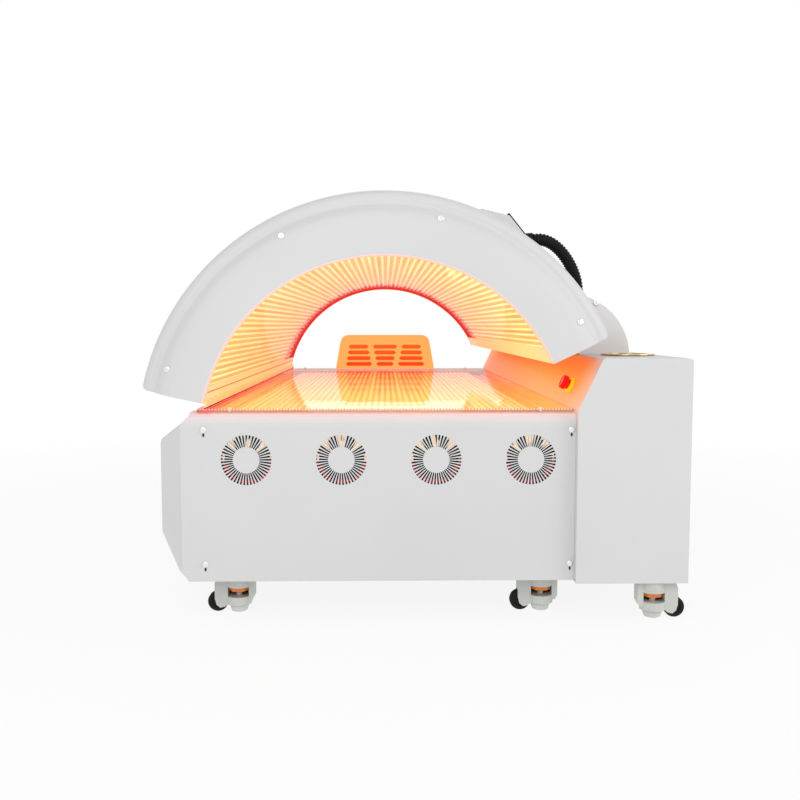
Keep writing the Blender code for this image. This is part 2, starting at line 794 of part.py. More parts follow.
def fan_carrier():
    """The sheet behind the near panel that carries the fan axles."""
    face = NEAR + PANEL_T + FAN_SETBACK + FAN_DEPTH + WALL
    top = PANEL_TOP - PANEL_T - GAP
    low = FAN_Z - FAN_R - 4 * WALL
    left = -SHEET_LEFT + RAIL_W
    right = SHEET_RIGHT - RAIL_W / 2
    outline = [(left, low), (right, low), (right, top), (left, top)]
    holes = []
    for x in fan_xs():
        for first in (10, 190):
            holes.append(ring_sector((x, FAN_Z), FAN_HUB_R, FAN_R + WALL, first, first + 160, 5))
    obj = place("fan_carrier", along_y([outline] + holes, face, face + CARRIER_T), "frame_steel")
    for x in fan_xs():
        tip = NEAR + PANEL_T + FAN_SETBACK
        join(obj, rod_mesh((x, face + CARRIER_T / 2, FAN_Z), (x, tip, FAN_Z), AXLE_R, 12))


def fan_rotors():
    """The four fan rotors, each on its own axis."""
    for i, x in enumerate(fan_xs()):
        middle = NEAR + PANEL_T + FAN_SETBACK + FAN_DEPTH / 2
        axis = axis_empty(f"fan_axis_{i + 1}", (x, middle, FAN_Z))
        half = FAN_DEPTH / 2
        bore = AXLE_R + GAP
        hub = turned_mesh([(FAN_HUB_R, half), (FAN_HUB_R, -half), (bore, -half), (bore, half)], 12)
        turn = Matrix.Rotation(math.pi / 2, 4, "X")
        hub.transform(turn)
        obj = place(f"fan_rotor_{i + 1}", hub, "black_plastic", axis)
        for blade in range(FAN_BLADES):
            vane = box_mesh((FAN_HUB_R - WALL, -0.011, -0.0008), (FAN_R, 0.011, 0.0008))
            around = Matrix.Rotation(2 * math.pi * blade / FAN_BLADES, 4, "Z")
            vane.transform(turn @ around @ Matrix.Rotation(0.55, 4, "X"))
            join(obj, vane, axis)


def cabinet_path():
    """The cabinet's cross-section, from its outer foot over the top to its inner wall."""
    return [
        (CABINET_RIGHT, CABINET_BOTTOM), (CABINET_RIGHT, CABINET_TOP), (SLOPE_TOP_X, CABINET_TOP),
        (CABINET_LEFT, SLOPE_Z), (CABINET_LEFT, INNER_WALL_Z)]


def stop_frame():
    """The emergency stop's frame: its local Z stands out of the sloped wall."""
    share = (STOP_Z - SLOPE_Z) / (CABINET_TOP - SLOPE_Z)
    x = CABINET_LEFT + share * (SLOPE_TOP_X - CABINET_LEFT)
    turn = SLOPE_OUT.to_track_quat("Z", "Y").to_matrix().to_4x4()
    return Matrix.Translation((x, STOP_Y, STOP_Z)) @ turn, Vector((x, STOP_Y, STOP_Z))


def cabinet():
    """The side cabinet's shell and its two end panels."""
    reach = CABINET_LENGTH / 2 - CABINET_PANEL_T - GAP
    path = rounded(cabinet_path(), CABINET_ROUND)
    obj = place("cabinet_shell", along_y([walled(path, WALL)], -reach, reach), "white_shell")
    below = (CUP_X, CUP_Y, CABINET_TOP - 3 * WALL)
    above = (CUP_X, CUP_Y, CABINET_TOP + WALL)
    cut(obj, rod_mesh(below, above, CUP_R + GAP, 24))
    _, at = stop_frame()
    cut(obj, rod_mesh(at - SLOPE_OUT * 3 * WALL, at + SLOPE_OUT * 3 * WALL, STOP_BARREL_R + GAP, 16))
    outline = rounded(cabinet_path()[:4] + [(CABINET_LEFT, CABINET_BOTTOM)], CABINET_ROUND)
    for sign, name in both_ends("cabinet_near_panel", "cabinet_far_panel"):
        ends = sorted((sign * (reach + GAP), sign * CABINET_LENGTH / 2))
        panel = place(name, along_y([outline], *ends), "white_shell")
        strip = sorted((sign * (BASE_LENGTH / 2 + GAP), sign * (reach + CABINET_PANEL_T / 2)))
        low = (CABINET_LEFT, strip[0], BASE_BOTTOM + PAN_T + GAP)
        join(panel, box_mesh(low, (CABINET_LEFT + WALL, strip[1], INNER_WALL_Z - GAP)))


def holder_cup():
    """The round metal holder let into the cabinet's top."""
    rim = CUP_T * 1.5
    inside = CUP_R - CUP_T
    profile = [
        (0.0, CUP_T - CUP_DEPTH), (inside, CUP_T - CUP_DEPTH), (inside, rim * 0.6), (CUP_R, rim),
        (CUP_FLANGE_R - CUP_T, rim), (CUP_FLANGE_R, rim * 0.4), (CUP_FLANGE_R, 0.0), (CUP_R, 0.0),
        (CUP_R, -CUP_DEPTH), (0.0, -CUP_DEPTH)]
    at = Matrix.Translation((CUP_X, CUP_Y, CABINET_TOP + GAP))
    smooth(place("holder_cup", turned_mesh(profile, 24), "polished_steel", None, at))


def emergency_stop():
    """The collar with its barrel, and the push button in it."""
    frame, at = stop_frame()
    bore = STOP_STEM_R + GAP
    collar = [
        (STOP_COLLAR_R * 0.85, STOP_COLLAR_H), (STOP_COLLAR_R, STOP_COLLAR_H * 0.6), (STOP_COLLAR_R, GAP),
        (STOP_BARREL_R, GAP), (STOP_BARREL_R, -STOP_BARREL_L), (bore, -STOP_BARREL_L), (bore, STOP_COLLAR_H)]
    smooth(place("estop_collar", turned_mesh(collar, 16), "stop_yellow", None, frame))
    low = STOP_COLLAR_H + STOP_TRAVEL + 3 * GAP
    top = low + STOP_HEAD_H
    button = [
        (0.0, top), (STOP_HEAD_R * 0.6, top - STOP_HEAD_H * 0.08),
        (STOP_HEAD_R * 0.92, top - STOP_HEAD_H * 0.3), (STOP_HEAD_R, top - STOP_HEAD_H * 0.55),
        (STOP_HEAD_R * 0.92, low), (STOP_STEM_R, low),
        (STOP_STEM_R, STOP_TRAVEL - STOP_BARREL_L), (0.0, STOP_TRAVEL - STOP_BARREL_L)]
    smooth(place("estop_button", turned_mesh(button, 16), "stop_red", None, frame))


CANOPY = axis_empty("canopy_axis", (HINGE_X, 0, HINGE_Z))


def canopy_place(name, mesh, look):
    """Make a part of the canopy, carried by the empty on the hinge axis."""
    return place(name, mesh, look, CANOPY, Matrix.Translation((-HINGE_X, 0, -HINGE_Z)))


def hinge_notches(obj, radius):
    """Clear a part of the canopy round both hinge housings."""
    for sign in (-1, 1):
        half = EAR_LENGTH / 2 + EAR_SIDE_GAP
        start = (HINGE_X, sign * (abs(EAR_MID_Y) - half), HINGE_Z)
        end = (HINGE_X, sign * (abs(EAR_MID_Y) + half), HINGE_Z)
        cut(obj, rod_mesh(start, end, radius, 32))


def canopy_cap(name, sign):
    """An end cap: a hollow arch whose face is flat inside and falls back to its rim outside."""
    width = CAP_R - CAP_FLAT_R
    path = [(CAP_IN_R, CAP_LIP), (CAP_IN_R, CAP_T), (CAP_IN_R + CAP_T, 0), (CAP_FLAT_R, 0)]
    path += [(CAP_FLAT_R + width * r, CAP_SET_BACK * d) for r, d in CAP_SHOULDER]
    path += [(CAP_R, CAP_DEPTH), (SHELL_R + GAP, CAP_DEPTH)]
    skeleton = [path[0], (CAP_IN_R, 0), path[3], path[6], path[8], path[9], path[10], path[11]]
    outline = path + offset_path(skeleton, CAP_T)[::-1]
    obj = canopy_place(name, swept_mesh(outline, ARC_RIGHT, ARC_LEFT, ARC_STEPS, sign), "white_moulding")
    plug = offset_path(path, CAP_T / 2)
    plug[0] = (plug[0][0], CAP_LIP - CAP_T / 2)
    plug[-1] = (SHELL_R + GAP + CAP_T / 2, plug[-1][1])
    plug.append((SHELL_R + GAP + CAP_T / 2, CAP_LIP - CAP_T / 2))
    for first, step in ((ARC_RIGHT, 1), (ARC_LEFT, -1)):
        ends = sorted((first + step * CAP_END_INSET_DEG, first + step * CAP_END_DEG))
        join(obj, swept_mesh(plug, ends[0], ends[1], 1, sign))
    for first, step in ((ARC_RIGHT, 1), (ARC_LEFT, -1)):
        turn = step * math.degrees(CAP_CORNER_TURN)
        centre = polar(CAP_R - CAP_CORNER, first + turn)
        corner = arc(centre, CAP_CORNER, first + turn, first - step * 90, 5)
        beyond = CAP_R * 1.04
        away = first - 3 * step
        corner += [polar(CAP_R * 0.97, away), polar(beyond, away), polar(beyond, first + turn)]
        ends = sorted((sign * (BASE_LENGTH / 2 + WALL), sign * (BASE_LENGTH / 2 - CAP_DEPTH - WALL)))
        cut(obj, along_y([corner], *ends))
    smooth(obj)


def canopy_shell():
    """The arched outer skin."""
    reach = CAP_DEPTH - SHELL_UNDER_CAP
    far = BASE_LENGTH - reach
    profile = [(SHELL_IN_R, reach), (SHELL_R, reach), (SHELL_R, far), (SHELL_IN_R, far)]
    mesh = swept_mesh(profile, ARC_RIGHT, ARC_LEFT, ARC_STEPS, -1)
    obj = canopy_place("canopy_shell", mesh, "white_moulding")
    hinge_notches(obj, HINGE_NOTCH_R)
    foot = polar(SHELL_IN_R - WALL, cable_hole_deg())
    head = polar(SHELL_R + WALL, cable_hole_deg())
    cut(obj, rod_mesh((foot[0], HOSE_Y, foot[1]), (head[0], HOSE_Y, head[1]), HOSE_BORE_R))
    smooth(obj)


def cable_hole_deg():
    """The angle at which the cables enter the shell, under the entry box."""
    return math.degrees(math.atan2(ENTRY_EDGE[1] - ARC_Z, ENTRY_EDGE[0]))


def canopy_rail(name, edge, step):
    """A rail that closes the canopy's lower edge and holds the clear sheet in."""
    def at(radius, away):
        along = math.radians(edge)
        x = radius * math.cos(along) - step * away * math.sin(along)
        z = ARC_Z + radius * math.sin(along) + step * away * math.cos(along)
        return (x, z)

    inner = CAP_IN_R + GAP
    lip = LINER_R - 2 * GAP
    outer = SHELL_IN_R - GAP
    first = math.degrees(math.asin(RAIL_T / lip))
    lip_foot = math.sqrt(lip ** 2 - RAIL_T ** 2)
    outline = [at(inner, 0), at(outer, 0), at(outer - GAP, RAIL_T), at(lip_foot, RAIL_T)]
    for share in (0.5, 1.0):
        outline.append(polar(lip, edge + step * (first + (RAIL_LIP_DEG - first) * share)))
    for share in (1.0, 0.5):
        outline.append(polar(inner, edge + step * RAIL_LIP_DEG * share))
    reach = BASE_LENGTH / 2 - CAP_LIP - GAP
    obj = canopy_place(name, along_y([outline], -reach, reach), "white_moulding")
    if step > 0:
        hinge_notches(obj, RAIL_NOTCH_R)


def canopy_acrylic():
    """The clear sheet inside the canopy."""
    reach = CAP_LIP + GAP
    away = math.degrees(math.asin(LINER_EDGE / LINER_R))
    far = BASE_LENGTH - reach
    outer = LINER_R + LINER_T
    profile = [(LINER_R, reach), (outer, reach), (outer, far), (LINER_R, far)]
    mesh = swept_mesh(profile, ARC_RIGHT + away, ARC_LEFT - away, ARC_STEPS, -1)
    smooth(canopy_place("canopy_acrylic", mesh, "clear_sheet"))


def canopy_lamp_tray():
    """The curved lamp tray, with a rib for each lamp row."""
    low = LAMP_R - LAMP_RIB_H
    away = math.degrees(math.asin(LINER_EDGE / low))
    first = ARC_RIGHT + away
    last = ARC_LEFT - away
    outline = arc((0, ARC_Z), LAMP_R + LAMP_T, first, last, LAMP_RIBS)
    outline.append(polar(LAMP_R, last))
    pitch = (last - first) / LAMP_RIBS
    half = pitch * LAMP_RIB_SHARE / 2
    for i in reversed(range(LAMP_RIBS)):
        middle = first + pitch * (i + 0.5)
        outline += [polar(LAMP_R, middle + half), polar(low, middle + half)]
        outline += [polar(low, middle - half), polar(LAMP_R, middle - half)]
    outline.append(polar(LAMP_R, first))
    reach = BASE_LENGTH / 2 - CAP_DEPTH
    canopy_place("canopy_lamp_tray", along_y([outline], -reach, reach), "lamp_board")


def hinge_housing(name, sign):
    """An ear on the cabinet's top that carries the hinge pin."""
    foot = CABINET_TOP + GAP
    centre = (EAR_RIGHT_X - EAR_ARC_R, CABINET_TOP - EAR_ARC_DROP)
    top_deg = math.degrees(math.asin((EAR_TOP_Z - centre[1]) / EAR_ARC_R))
    foot_deg = math.degrees(math.asin((foot - centre[1]) / EAR_ARC_R))
    outline = [(EAR_FOOT_X, foot)] + arc(centre, EAR_ARC_R, foot_deg, top_deg, 8)
    outline += [(EAR_LEFT_X, EAR_TOP_Z), (HINGE_X - HUB_R * 1.3, HINGE_Z)]
    outline.append((HINGE_X - HUB_R * 1.1, HINGE_Z - HUB_R))
    mid = sign * abs(EAR_MID_Y)
    obj = place(name, along_y([outline], mid - EAR_LENGTH / 2, mid + EAR_LENGTH / 2), "white_shell")
    reach = EAR_LENGTH / 2 + WALL
    bore = bore_radius(PIN_R, 12)
    cut(obj, rod_mesh((HINGE_X, mid - reach, HINGE_Z), (HINGE_X, mid + reach, HINGE_Z), bore))
    if sign < 0:
        gland_top = EAR_TOP_Z + HOSE_GLAND_H
        gland_foot = (HOSE_GLAND_X, mid, EAR_TOP_Z - WALL)
        join(obj, rod_mesh(gland_foot, (HOSE_GLAND_X, mid, gland_top), HOSE_GLAND_R, 16))
        bore_low = EAR_TOP_Z - HOSE_GLAND_H
        cut(obj, rod_mesh((HOSE_GLAND_X, mid, bore_low), (HOSE_GLAND_X, mid, gland_top + WALL), HOSE_BORE_R))


def hinge_arm(name, sign):
    """An arm inside the canopy, with the pin that turns in a hinge housing."""
    outer = SHELL_IN_R * math.cos(math.radians(ARC_STEP_DEG / 2)) - GAP
    far = abs(EAR_MID_Y) - EAR_LENGTH / 2 - EAR_SIDE_GAP
    ends = sorted((sign * far, sign * (far - ARM_T)))
    plate = ring_sector((0, ARC_Z), ARM_IN_R, outer, HINGE_DEG, HINGE_DEG + ARM_SPAN_DEG, 6)
    obj = canopy_place(name, along_y([plate], *ends), "frame_steel")
    hub = (HINGE_X, sign * far, HINGE_Z), (HINGE_X, sign * (far - ARM_T), HINGE_Z)
    join(obj, rod_mesh(*hub, min(HUB_R, outer - HINGE_R - GAP), 24))
    tip = sign * (abs(EAR_MID_Y) + EAR_LENGTH / 2 - 2 * WALL)
    join(obj, rod_mesh((HINGE_X, sign * (far - ARM_T / 2), HINGE_Z), (HINGE_X, tip, HINGE_Z), PIN_R))


def on_shell(degrees, clearance):
    """A point above the faceted outer skin at an angle."""
    station = math.floor((degrees - ARC_RIGHT) / ARC_STEP_DEG + 0.000001)
    middle = ARC_RIGHT + (station + 0.5) * ARC_STEP_DEG
    flat = SHELL_R * math.cos(math.radians(ARC_STEP_DEG / 2)) + clearance
    return polar(flat / math.cos(math.radians(degrees - middle)), degrees)


def entry_box():
    """The raised box on the skin through which the cables enter."""
    foot_deg = math.degrees(math.atan2(ENTRY_FOOT[1] - ARC_Z, ENTRY_FOOT[0]))
    outline = [on_shell(ENTRY_FROM_DEG, GAP), ENTRY_TOP, ENTRY_EDGE, ENTRY_FOOT, on_shell(foot_deg, GAP)]
    degrees = math.ceil((foot_deg - ARC_RIGHT) / ARC_STEP_DEG) * ARC_STEP_DEG + ARC_RIGHT
    while degrees < ENTRY_FROM_DEG:
        outline.append(on_shell(degrees, GAP))
        degrees += ARC_STEP_DEG
    near = HOSE_Y - ENTRY_WIDTH / 2
    far = HOSE_Y + ENTRY_WIDTH / 2
    obj = canopy_place("hose_entry_box", along_y([outline], near, far), "white_moulding")
    normal = plate_normal()
    under = on_shell(ENTRY_FROM_DEG - 4, -2 * WALL)
    inner = [Vector(ENTRY_EDGE) - normal * ENTRY_WALL, Vector(ENTRY_FOOT) - normal * ENTRY_WALL]
    hollow = [tuple(inner[0]), (ENTRY_TOP[0], ENTRY_TOP[1] - ENTRY_WALL), under]
    hollow += [on_shell(foot_deg + 1, -2 * WALL), tuple(inner[1])]
    cut(obj, along_y([hollow], near + ENTRY_WALL, far - ENTRY_WALL))
    start, aim = collar_line()
    back = start - aim * 2 * ENTRY_WALL
    front = start + aim * WALL
    cut(obj, rod_mesh((back.x, HOSE_Y, back.y), (front.x, HOSE_Y, front.y), HOSE_BORE_R))


def plate_normal():
    """The outward direction of the entry box's inclined face."""
    along = (Vector(ENTRY_FOOT) - Vector(ENTRY_EDGE)).normalized()
    return Vector((-along.y, along.x))


def collar_line():
    """Where the hose's axis meets the black plate, and the way it leaves."""
    at = Vector(ENTRY_EDGE).lerp(Vector(ENTRY_FOOT), COLLAR_SHARE)
    rise = math.radians(COLLAR_RISE_DEG)
    return at, Vector((math.cos(rise), math.sin(rise)))


def hose_plate():
    """The black plate on the entry box, with the collar that the hose leaves from."""
    normal = plate_normal()
    along = (Vector(ENTRY_FOOT) - Vector(ENTRY_EDGE)).normalized()
    low = Vector(ENTRY_EDGE) - along * PLATE_OVER + normal * GAP
    high = Vector(ENTRY_FOOT) + normal * GAP
    outline = [tuple(low), tuple(high), tuple(high + normal * PLATE_T), tuple(low + normal * PLATE_T)]
    mesh = along_y([outline], HOSE_Y - PLATE_W / 2, HOSE_Y + PLATE_W / 2)
    obj = canopy_place("hose_plate", mesh, "black_plastic")
    start, aim = collar_line()
    back = start - aim * COLLAR_R
    end = start + aim * COLLAR_L
    join(obj, rod_mesh((back.x, HOSE_Y, back.y), (end.x, HOSE_Y, end.y), COLLAR_R, 24))
    past = end + aim * WALL
    cut(obj, rod_mesh((back.x - WALL, HOSE_Y, back.y), (past.x, HOSE_Y, past.y), HOSE_BORE_R))
    behind = [low - along * COLLAR_R, high + along * COLLAR_R * 2]
    behind += [behind[1] - normal * 3 * COLLAR_R, behind[0] - normal * 3 * COLLAR_R]
    cut(obj, along_y([[tuple(point) for point in behind]], HOSE_Y - PLATE_W, HOSE_Y + PLATE_W))


def hose_line():
    """The hose's centre line in (x, z), evenly spaced, straight at both ends."""
    start, aim = collar_line()
    first = start + aim * (COLLAR_L + GAP)
    second = first + aim * 2 * HOSE_R
    last = Vector((HOSE_GLAND_X, EAR_TOP_Z + HOSE_GLAND_H + GAP))
    third = last + Vector((0, 2 * HOSE_R))
    lead = second + aim * HOSE_LEAN_OUT
    trail = third + Vector((0, HOSE_LEAN_DOWN))
    dense = [first]
    for i in range(41):
        t = i / 40
        point = second * (1 - t) ** 3 + lead * 3 * t * (1 - t) ** 2
        dense.append(point + trail * 3 * t ** 2 * (1 - t) + third * t ** 3)
    dense.append(last)
    lengths = [0.0]
    for before, here in zip(dense, dense[1:]):
        lengths.append(lengths[-1] + (here - before).length)
    count = 2 * round(lengths[-1] / HOSE_RIB_PITCH)
    line = []
    spot = 0
    for i in range(count + 1):
        want = lengths[-1] * i / count
        while spot < len(lengths) - 2 and lengths[spot + 1] < want:
            spot += 1
        share = (want - lengths[spot]) / (lengths[spot + 1] - lengths[spot])
        line.append(dense[spot].lerp(dense[spot + 1], share))
    return line


def tube_mesh(points, radii):
    """A solid tube along points of (x, z) in the hose's plane, with a radius at each point."""
    curve = bpy.data.curves.new("tube", "CURVE")
    curve.dimensions = "3D"
    curve.bevel_depth = 1.0
    curve.bevel_resolution = 2
    curve.use_fill_caps = True
    spline = curve.splines.new("POLY")
    spline.points.add(len(points) - 1)
    for knot, point, radius in zip(spline.points, points, radii):
        knot.co = (point[0], HOSE_Y, point[1], 1.0)
        knot.radius = radius
    holder = bpy.data.objects.new("tube", curve)
    bpy.context.scene.collection.objects.link(holder)
    mesh = bpy.data.meshes.new_from_object(holder.evaluated_get(bpy.context.evaluated_depsgraph_get()))
    bpy.data.objects.remove(holder, do_unlink=True)
    bpy.data.curves.remove(curve)
    clean_mesh(mesh)
    return mesh


def cable_hose():
    """The ribbed hose between the canopy's entry box and the hinge housing."""
    line = hose_line()
    radii = [HOSE_R if i % 2 else HOSE_ROOT_R for i in range(len(line))]
    obj = place("cable_hose", tube_mesh(line, radii), "black_plastic")
    before = line[0] - (line[1] - line[0]).normalized() * WALL
    after = line[-1] + (line[-1] - line[-2]).normalized() * WALL
    plain = [before] + line[::2] + [after]
    cut(obj, tube_mesh(plain, [HOSE_BORE_R] * len(plain)))


def fork_outline():
    """The side view of the caster's fork, which covers the upper part of the wheel."""
    top = CABINET_BOTTOM - FORK_DROP
    back = FORK_BACK * 0.86
    return [
        (-FORK_BACK, WINDOW_Z), (-back, SLEEVE_Z * 1.5), (SLEEVE_R * 0.85, SLEEVE_Z + GAP),
        (WHEEL_TRAIL * 0.65, WHEEL_R * 0.55), (WHEEL_TRAIL * 0.87, WHEEL_R * 0.45),
        (FORK_OUT * 0.93, WHEEL_R * 0.75), (FORK_OUT, WHEEL_R * 1.35), (FORK_OUT, top * 0.82),
        (FORK_OUT * 0.88, top), (-back, top), (-FORK_BACK, top * 0.92)]


def caster_housing(name, frame):
    """The caster's sleeve with its window, wheel cheeks, axle and stem."""
    top = BASE_BOTTOM - GAP
    obj = place(name, rod_mesh((0, 0, SLEEVE_Z), (0, 0, top), SLEEVE_R, 16), "caster_grey", frame)
    inside = WHEEL_W / 2 + WELL_CLEAR / 2
    join(obj, along_y([fork_outline()], -inside - CHEEK_T, inside + CHEEK_T), frame)

    def across(half, radius, sides):
        return rod_mesh((WHEEL_TRAIL, -half, WHEEL_R), (WHEEL_TRAIL, half, WHEEL_R), radius, sides)

    cut(obj, across(inside, WHEEL_R + WELL_CLEAR, 16), frame)
    join(obj, across(inside + CHEEK_T / 2, CASTER_AXLE_R, 8), frame)
    half = THUMB_R + WALL / 2
    cut(obj, box_mesh((-half, -SLEEVE_R * 1.2, WINDOW_Z), (half, SLEEVE_R * 1.2, WINDOW_TOP)), frame)
    bore_top = WINDOW_TOP + 3 * WALL
    cut(obj, rod_mesh((0, 0, SLEEVE_Z - WALL), (0, 0, bore_top), SPINDLE_R + GAP), frame)
    stem_top = BASE_BOTTOM + PAN_T + RAIL_H - WALL
    join(obj, rod_mesh((0, 0, top - WALL), (0, 0, stem_top), STEM_R, 8), frame)


def caster_foot(name, frame):
    """The levelling pad with its spindle."""
    top = PAD_REST_Z + PAD_H
    edge = PAD_H / 5
    spindle_top = WINDOW_TOP + 2 * WALL
    profile = [
        (0.0, spindle_top), (SPINDLE_R, spindle_top), (SPINDLE_R, top), (PAD_TOP_R - edge / 2, top),
        (PAD_TOP_R, top - edge), (PAD_R, PAD_REST_Z + edge / 2), (PAD_R - edge / 2, PAD_REST_Z),
        (0.0, PAD_REST_Z)]
    place(name, turned_mesh(profile, 12), "caster_grey", frame)


def caster_thumbwheel(name, frame):
    """The lobed nut that drives the spindle."""
    ring = []
    for i in range(THUMB_LOBES * 2):
        radius = THUMB_R if i % 2 else THUMB_R * 0.92
        turn = 2 * math.pi * i / (THUMB_LOBES * 2)
        ring.append((radius * math.cos(turn), radius * math.sin(turn)))
    high = WINDOW_TOP - WALL / 3
    place(name, along_z([ring, circle(SPINDLE_R + GAP, 12)], high - THUMB_H, high), "thumb_orange", frame)


def caster_wheel(name, frame):
    """The caster's wheel, with one flat of its rim on the floor."""
    sides = 18
    rim = WHEEL_R / math.cos(math.pi / sides)
    half = WHEEL_W / 2
    bore = CASTER_AXLE_R + GAP
    profile = [(rim, half), (rim, -half), (bore, -half), (bore, half)]
    mesh = turned_mesh(profile, sides, 180.0 / sides)
    mesh.transform(Matrix.Rotation(math.pi / 2, 4, "X"))
    axle = axis_empty(name + "_axle", (WHEEL_TRAIL, 0, WHEEL_R), frame)
    place(name, mesh, "tyre_black", axle)


def casters():
    """Every levelling caster, on its own swivel axis."""
    for number, at, side in caster_places():
        frame = axis_empty(f"caster_{number}_swivel", at)
        frame.rotation_euler.z = math.pi if side < 0 else 0.0
        caster_housing(f"caster_{number}_housing", frame)
        caster_foot(f"caster_{number}_foot", frame)
        caster_thumbwheel(f"caster_{number}_thumbwheel", frame)
        caster_wheel(f"caster_{number}_wheel", frame)


def power_supply():
    """The supply unit on the cabinet's floor, with cooling slots in its sides."""
    x, y = SUPPLY_AT
    wide, long, high = SUPPLY_SIZE
    low = BASE_BOTTOM + PAN_T + GAP
    left, right = x - wide / 2, x + wide / 2
    near, top = y - long / 2, low + high
    obj = place("power_supply", box_mesh((left, near, low), (right, near + long, top)), "frame_steel")
    inside = (left + WALL, near + WALL, low + WALL), (right - WALL, near + long + WALL, top - WALL)
    cut(obj, box_mesh(*inside))
    for i in range(5):
        slot_y = near + long * (0.2 + 0.15 * i)
        slot = (left - WALL, slot_y, low + high * 0.25), (right + WALL, slot_y + WALL, low + high * 0.75)
        cut(obj, box_mesh(*slot))


def power_inlet():
    """The mains inlet in the far panel: a flanged socket with three pins."""
    x, z = INLET_AT
    wide, high = INLET_SIZE
    face = BASE_LENGTH / 2
    left, right = x - wide / 2, x + wide / 2
    low, top = z - high / 2, z + high / 2
    hole = [(left, low), (right, low), (right, top), (left, top)]
    inside = [(a + math.copysign(GAP, x - a), b + math.copysign(GAP, z - b)) for a, b in hole]
    rim = [(a - math.copysign(INLET_FLANGE, x - a), b - math.copysign(INLET_FLANGE, z - b)) for a, b in hole]
    well = [(a + math.copysign(2 * WALL, x - a), b + math.copysign(WALL, z - b)) for a, b in hole]
    body = along_y([inside], face - INLET_DEPTH, face + INLET_FLANGE / 2)
    obj = place("power_inlet", body, "black_plastic")
    join(obj, along_y([rim], face + GAP, face + INLET_FLANGE))
    cut(obj, along_y([well], face - INLET_DEPTH + 2 * WALL, face + INLET_FLANGE + WALL))
    for i in (-1, 0, 1):
        pin = (x + i * wide / 5, z + (WALL if i == 0 else -WALL))
        foot = (pin[0] - WALL / 3, face - INLET_DEPTH + WALL, pin[1] - WALL)
        join(obj, box_mesh(foot, (pin[0] + WALL / 3, face, pin[1] + WALL)))
    return along_y([hole], face - PANEL_T - WALL, face + WALL)


def main():
    """Build every part."""
    chassis()
    end_panel("near_end_panel", grille_slots(), -1)
    far = end_panel("far_end_panel", [], 1)
    for slot in louvre_slots():
        cut(far, along_y([slot], BASE_LENGTH / 2 - 2 * PANEL_T, BASE_LENGTH / 2 + PANEL_T))
    cut(far, power_inlet())
    side_shell()
    bed_spine()
    bed_lamp_tray()
    bed_acrylic()
    head_vent()
    fan_carrier()
    fan_rotors()
    cabinet()
    holder_cup()
    emergency_stop()
    power_supply()
    canopy_shell()
    canopy_cap("canopy_cap_near", -1)
    canopy_cap("canopy_cap_far", 1)
    canopy_rail("canopy_rail_right", ARC_RIGHT, 1)
    canopy_rail("canopy_rail_left", ARC_LEFT, -1)
    canopy_acrylic()
    canopy_lamp_tray()
    for sign, name in both_ends("hinge_housing_near", "hinge_housing_far"):
        hinge_housing(name, sign)
    for sign, name in both_ends("hinge_arm_near", "hinge_arm_far"):
        hinge_arm(name, sign)
    entry_box()
    hose_plate()
    cable_hose()
    casters()


main()
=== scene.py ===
"""Dresses the red light therapy bed: finishes, lamp tubes, ribbed hose, screws, wheels and the studio."""

from __future__ import annotations

import logging
import math
from dataclasses import dataclass
from enum import Enum
from typing import Callable, Iterable, Sequence, Union

import bmesh
import bpy
from mathutils import Matrix, Vector

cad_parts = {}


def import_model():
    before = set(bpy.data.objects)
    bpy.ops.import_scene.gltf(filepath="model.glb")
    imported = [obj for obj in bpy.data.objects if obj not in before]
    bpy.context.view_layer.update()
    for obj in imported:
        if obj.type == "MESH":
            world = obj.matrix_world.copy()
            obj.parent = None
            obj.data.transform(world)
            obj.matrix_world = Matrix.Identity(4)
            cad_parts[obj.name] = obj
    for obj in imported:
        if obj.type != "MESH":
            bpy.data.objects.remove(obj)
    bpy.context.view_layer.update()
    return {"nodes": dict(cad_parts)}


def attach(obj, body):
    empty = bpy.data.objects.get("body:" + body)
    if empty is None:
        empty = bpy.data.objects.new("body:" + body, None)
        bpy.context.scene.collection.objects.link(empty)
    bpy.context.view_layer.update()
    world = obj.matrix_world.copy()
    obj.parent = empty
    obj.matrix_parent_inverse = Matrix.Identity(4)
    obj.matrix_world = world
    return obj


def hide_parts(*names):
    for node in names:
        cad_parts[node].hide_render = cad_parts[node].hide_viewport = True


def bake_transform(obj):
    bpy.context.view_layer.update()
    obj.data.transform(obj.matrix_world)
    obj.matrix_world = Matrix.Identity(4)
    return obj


LOG = logging.getLogger("red_light_bed")

BED_AXIS_X = -0.076964
ARC_Z = 0.455
HALF_LENGTH = 1.10

Colour = tuple[float, float, float]
Span = tuple[float, float]
Value = Union[float, "Socket"]

UNLIT: Colour = (0.0, 0.0, 0.0)
WHITE: Colour = (1.0, 1.0, 1.0)


class Body(str, Enum):
    """The moving bodies that pieces ride on."""

    BASE = "base"
    CANOPY = "canopy"
    STOP = "estop_button"


class Slot(str, Enum):
    """The names of the record's material slots."""

    WHITE = "white_shell"
    LAMP = "lamp_board"
    BLACK = "black_plastic"
    POLISHED = "polished_steel"
    TYRE = "tyre_black"
    CLEAR = "clear_sheet"
    MOULDING = "white_moulding"
    STOP = "stop_red"
    YELLOW = "stop_yellow"


class End(Enum):
    """The two ends of the bed, as the sign of Y."""

    NEAR = -1
    FAR = 1


class Lit(Enum):
    """Where painted lamp light spills over a white part."""

    NOWHERE = 0
    INNER_LIP = 1
    TOP_EDGE = 2
    SLOPE = 3
    RAIL = 4


